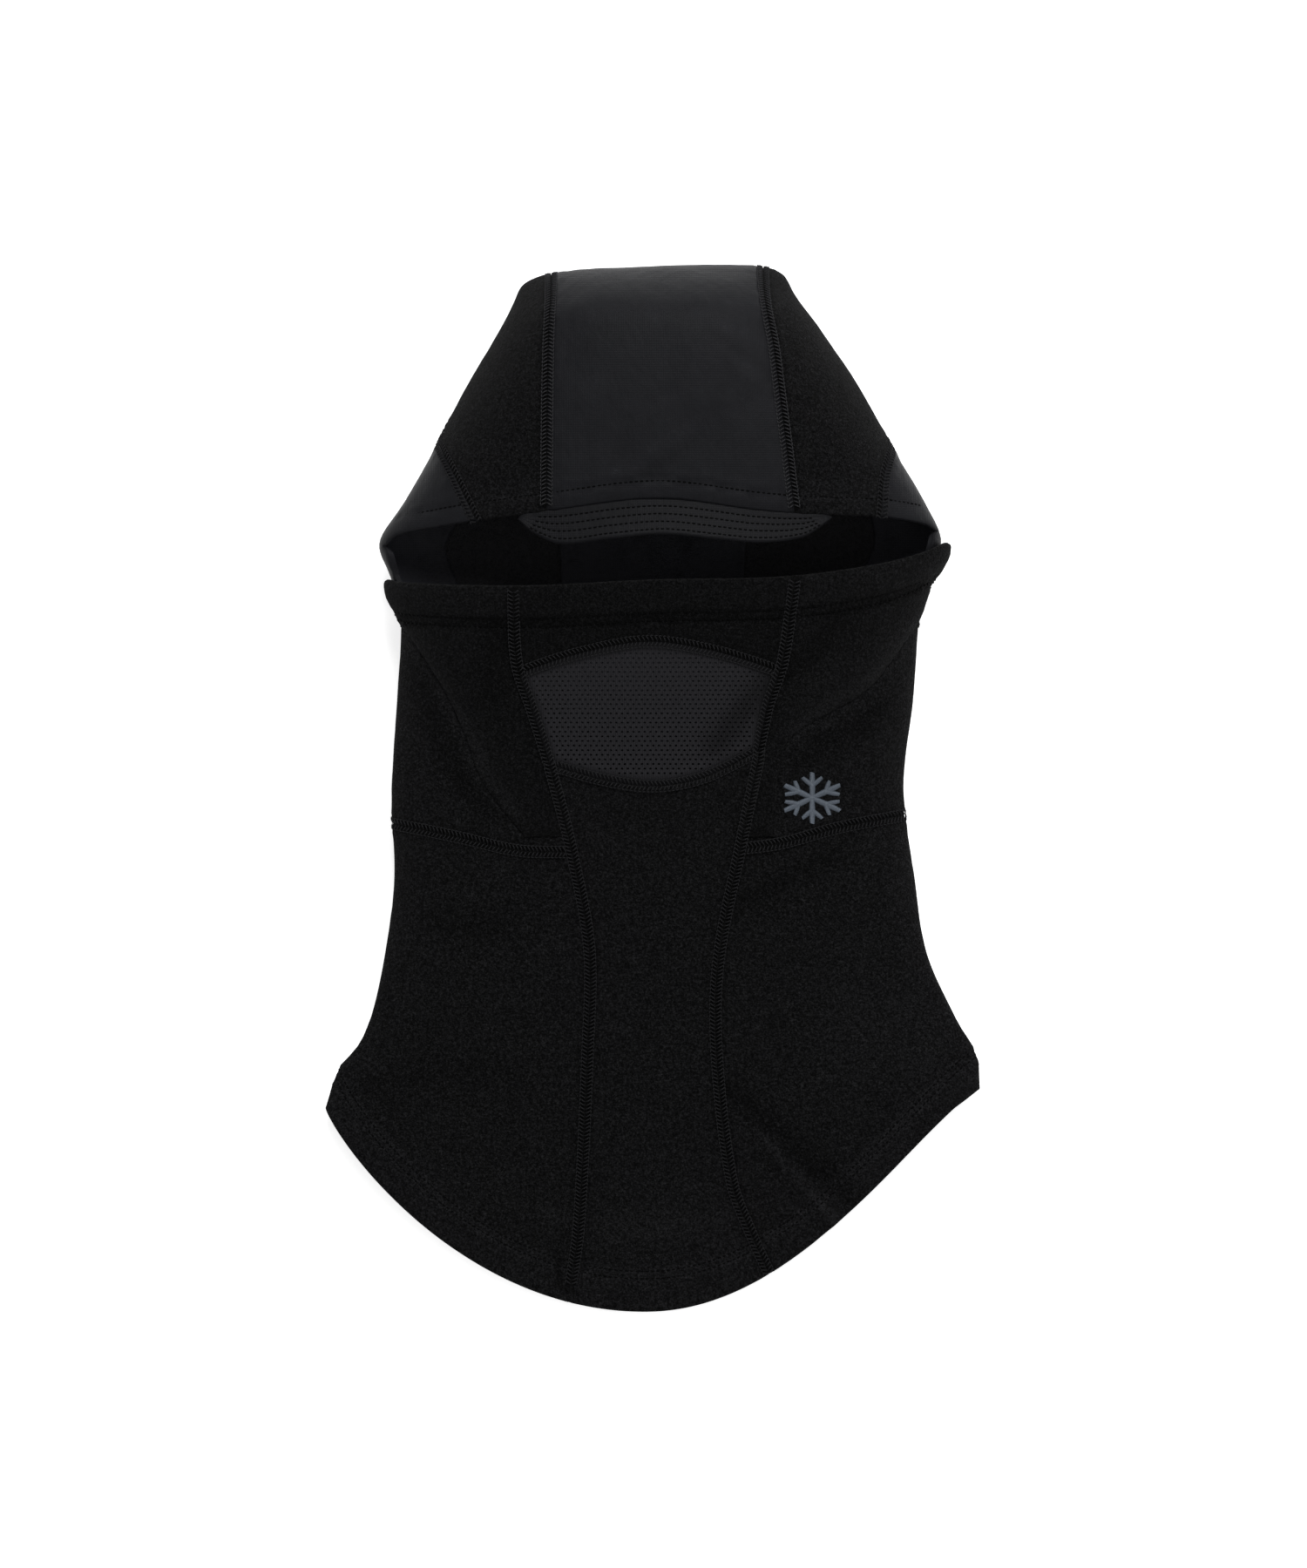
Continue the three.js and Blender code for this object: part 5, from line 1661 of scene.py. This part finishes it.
def make_label():
    """Plain woven tab inside the back of the neck, slightly arched."""
    low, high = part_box("neck_label")
    low, high = np.array(low) / MM, np.array(high) / MM
    u, v = np.meshgrid(np.linspace(0, 1, 41), np.linspace(0, 1, 21))
    arch = 0.25 * np.sin(math.pi * u) + 0.12 * np.sin(math.pi * 2 * v) * np.sin(math.pi * u)
    x, y = mix(low[0], high[0], u), mix(low[1], high[1], v)
    top = np.stack([x, y, high[2] + arch], -1)
    bottom = np.stack([x, y, low[2] + 0.8 * arch], -1)
    piece = slab("neck_label_tab", top, bottom, "label")
    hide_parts("neck_label")
    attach(piece, "hood")


make_label()


# ---- the embroidered mark --------------------------------------------------------------------

# One satin stitch: share of its half width across, height over the cloth.
SATIN_STITCH = ((-1, 0.0), (-0.6, 0.42), (0.6, 0.42), (1, 0.0))


def emblem_at(turn, share):
    """The spot on the emblem in this direction, at a share of its reach."""
    return np.array(EMBLEM_AT) + share * np.array(EMBLEM_SIZE) * (math.cos(turn), math.sin(turn))


def make_emblem():
    """Generic six-armed snowflake in satin stitch."""
    bars = []
    for arm in range(6):
        turn = math.radians(30 + 60 * arm)
        bars.append((emblem_at(turn, 0.02), emblem_at(turn, 1.0), 1.4))
        for lean in (0.36, -0.36):
            bars.append((emblem_at(turn, 0.48), emblem_at(turn + lean, 0.86), 1.1))
    parts = []
    for start, end, half in bars:
        length = np.linalg.norm(end - start)
        along = np.linspace(0, 1, int(length / 0.34))[:, None]
        taper = half * (0.75 + 0.25 * np.sin(math.pi * along))
        spots = mix(start, end, along)
        ahead = np.append((end - start) / length, 0.0)
        places = locate(*spots.T)
        base, out = on_hood(places), outward(places)
        across = unit(np.cross(out, ahead)) + 0.25 * ahead
        for spot, o, a, reach in zip(base, out, across, taper[:, 0]):
            path = [spot + a * s * reach + o * h for s, h in SATIN_STITCH]
            parts.append(tube(path, 0.23))
    points, faces = joined(parts)
    piece = new_piece("cheek_emblem_stitches", points, faces, LOOKS["embroidery"])
    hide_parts("cheek_emblem")
    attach(piece, "hood")


make_emblem()


# ---- table, light and camera -----------------------------------------------------------------

FRAME_HEIGHT = 0.72  # metres of table that the picture shows from top to bottom
CAMERA_HEIGHT = 5.0
CLOTH_HEIGHT = 0.015  # height at which the frame's size is measured
PICTURE_CENTRE = (0.0004, 0.0014)
TABLE_REACH = 4.0
TABLE_GAP = 0.0006  # the floor lies this far below the cloth


def make_stage():
    mesh = bpy.data.meshes.new("table_top")
    corners = [(-1, -1), (1, -1), (1, 1), (-1, 1)]
    mesh.from_pydata([(TABLE_REACH * x, TABLE_REACH * y, 0) for x, y in corners], [], [(0, 1, 2, 3)])
    floor = add_object("table_top", mesh)
    floor.location.z = -TABLE_GAP
    material = bpy.data.materials.new("pale_floor")
    material.use_nodes = True
    shader = material.node_tree.nodes["Principled BSDF"]
    put(shader, Base_Color=(0.9, 0.9, 0.9, 1), Roughness=0.9, Specular_IOR_Level=0.1)
    put(shader, Emission_Color=(1, 1, 1, 1), Emission_Strength=0.6)
    mesh.materials.append(material)


def add_light(name, place, size, power):
    light = bpy.data.lights.new(name, "AREA")
    light.shape = "DISK"
    light.size = size
    light.energy = power
    lamp = add_object(name, light)
    lamp.location = place
    lamp.rotation_euler = (-Vector(place)).to_track_quat("-Z", "Y").to_euler()


def make_light():
    world = bpy.data.worlds.new("studio")
    world.use_nodes = True
    put(world.node_tree.nodes["Background"], Color=(1, 1, 1, 1), Strength=0.56)
    bpy.context.scene.world = world
    add_light("key", (0.4, 1.7, 1.75), 1.5, 60)
    add_light("fill", (1.3, -0.6, 1.8), 1.8, 8)


def make_camera():
    data = bpy.data.cameras.new("camera")
    data.sensor_width = 36
    data.lens = data.sensor_width / 2 / (FRAME_HEIGHT / 2 / (CAMERA_HEIGHT - CLOTH_HEIGHT))
    camera = add_object("camera", data)
    camera.location = (*PICTURE_CENTRE, CAMERA_HEIGHT)
    bpy.context.scene.camera = camera


make_stage()
make_light()
make_camera()
bpy.context.scene.view_settings.view_transform = "Standard"
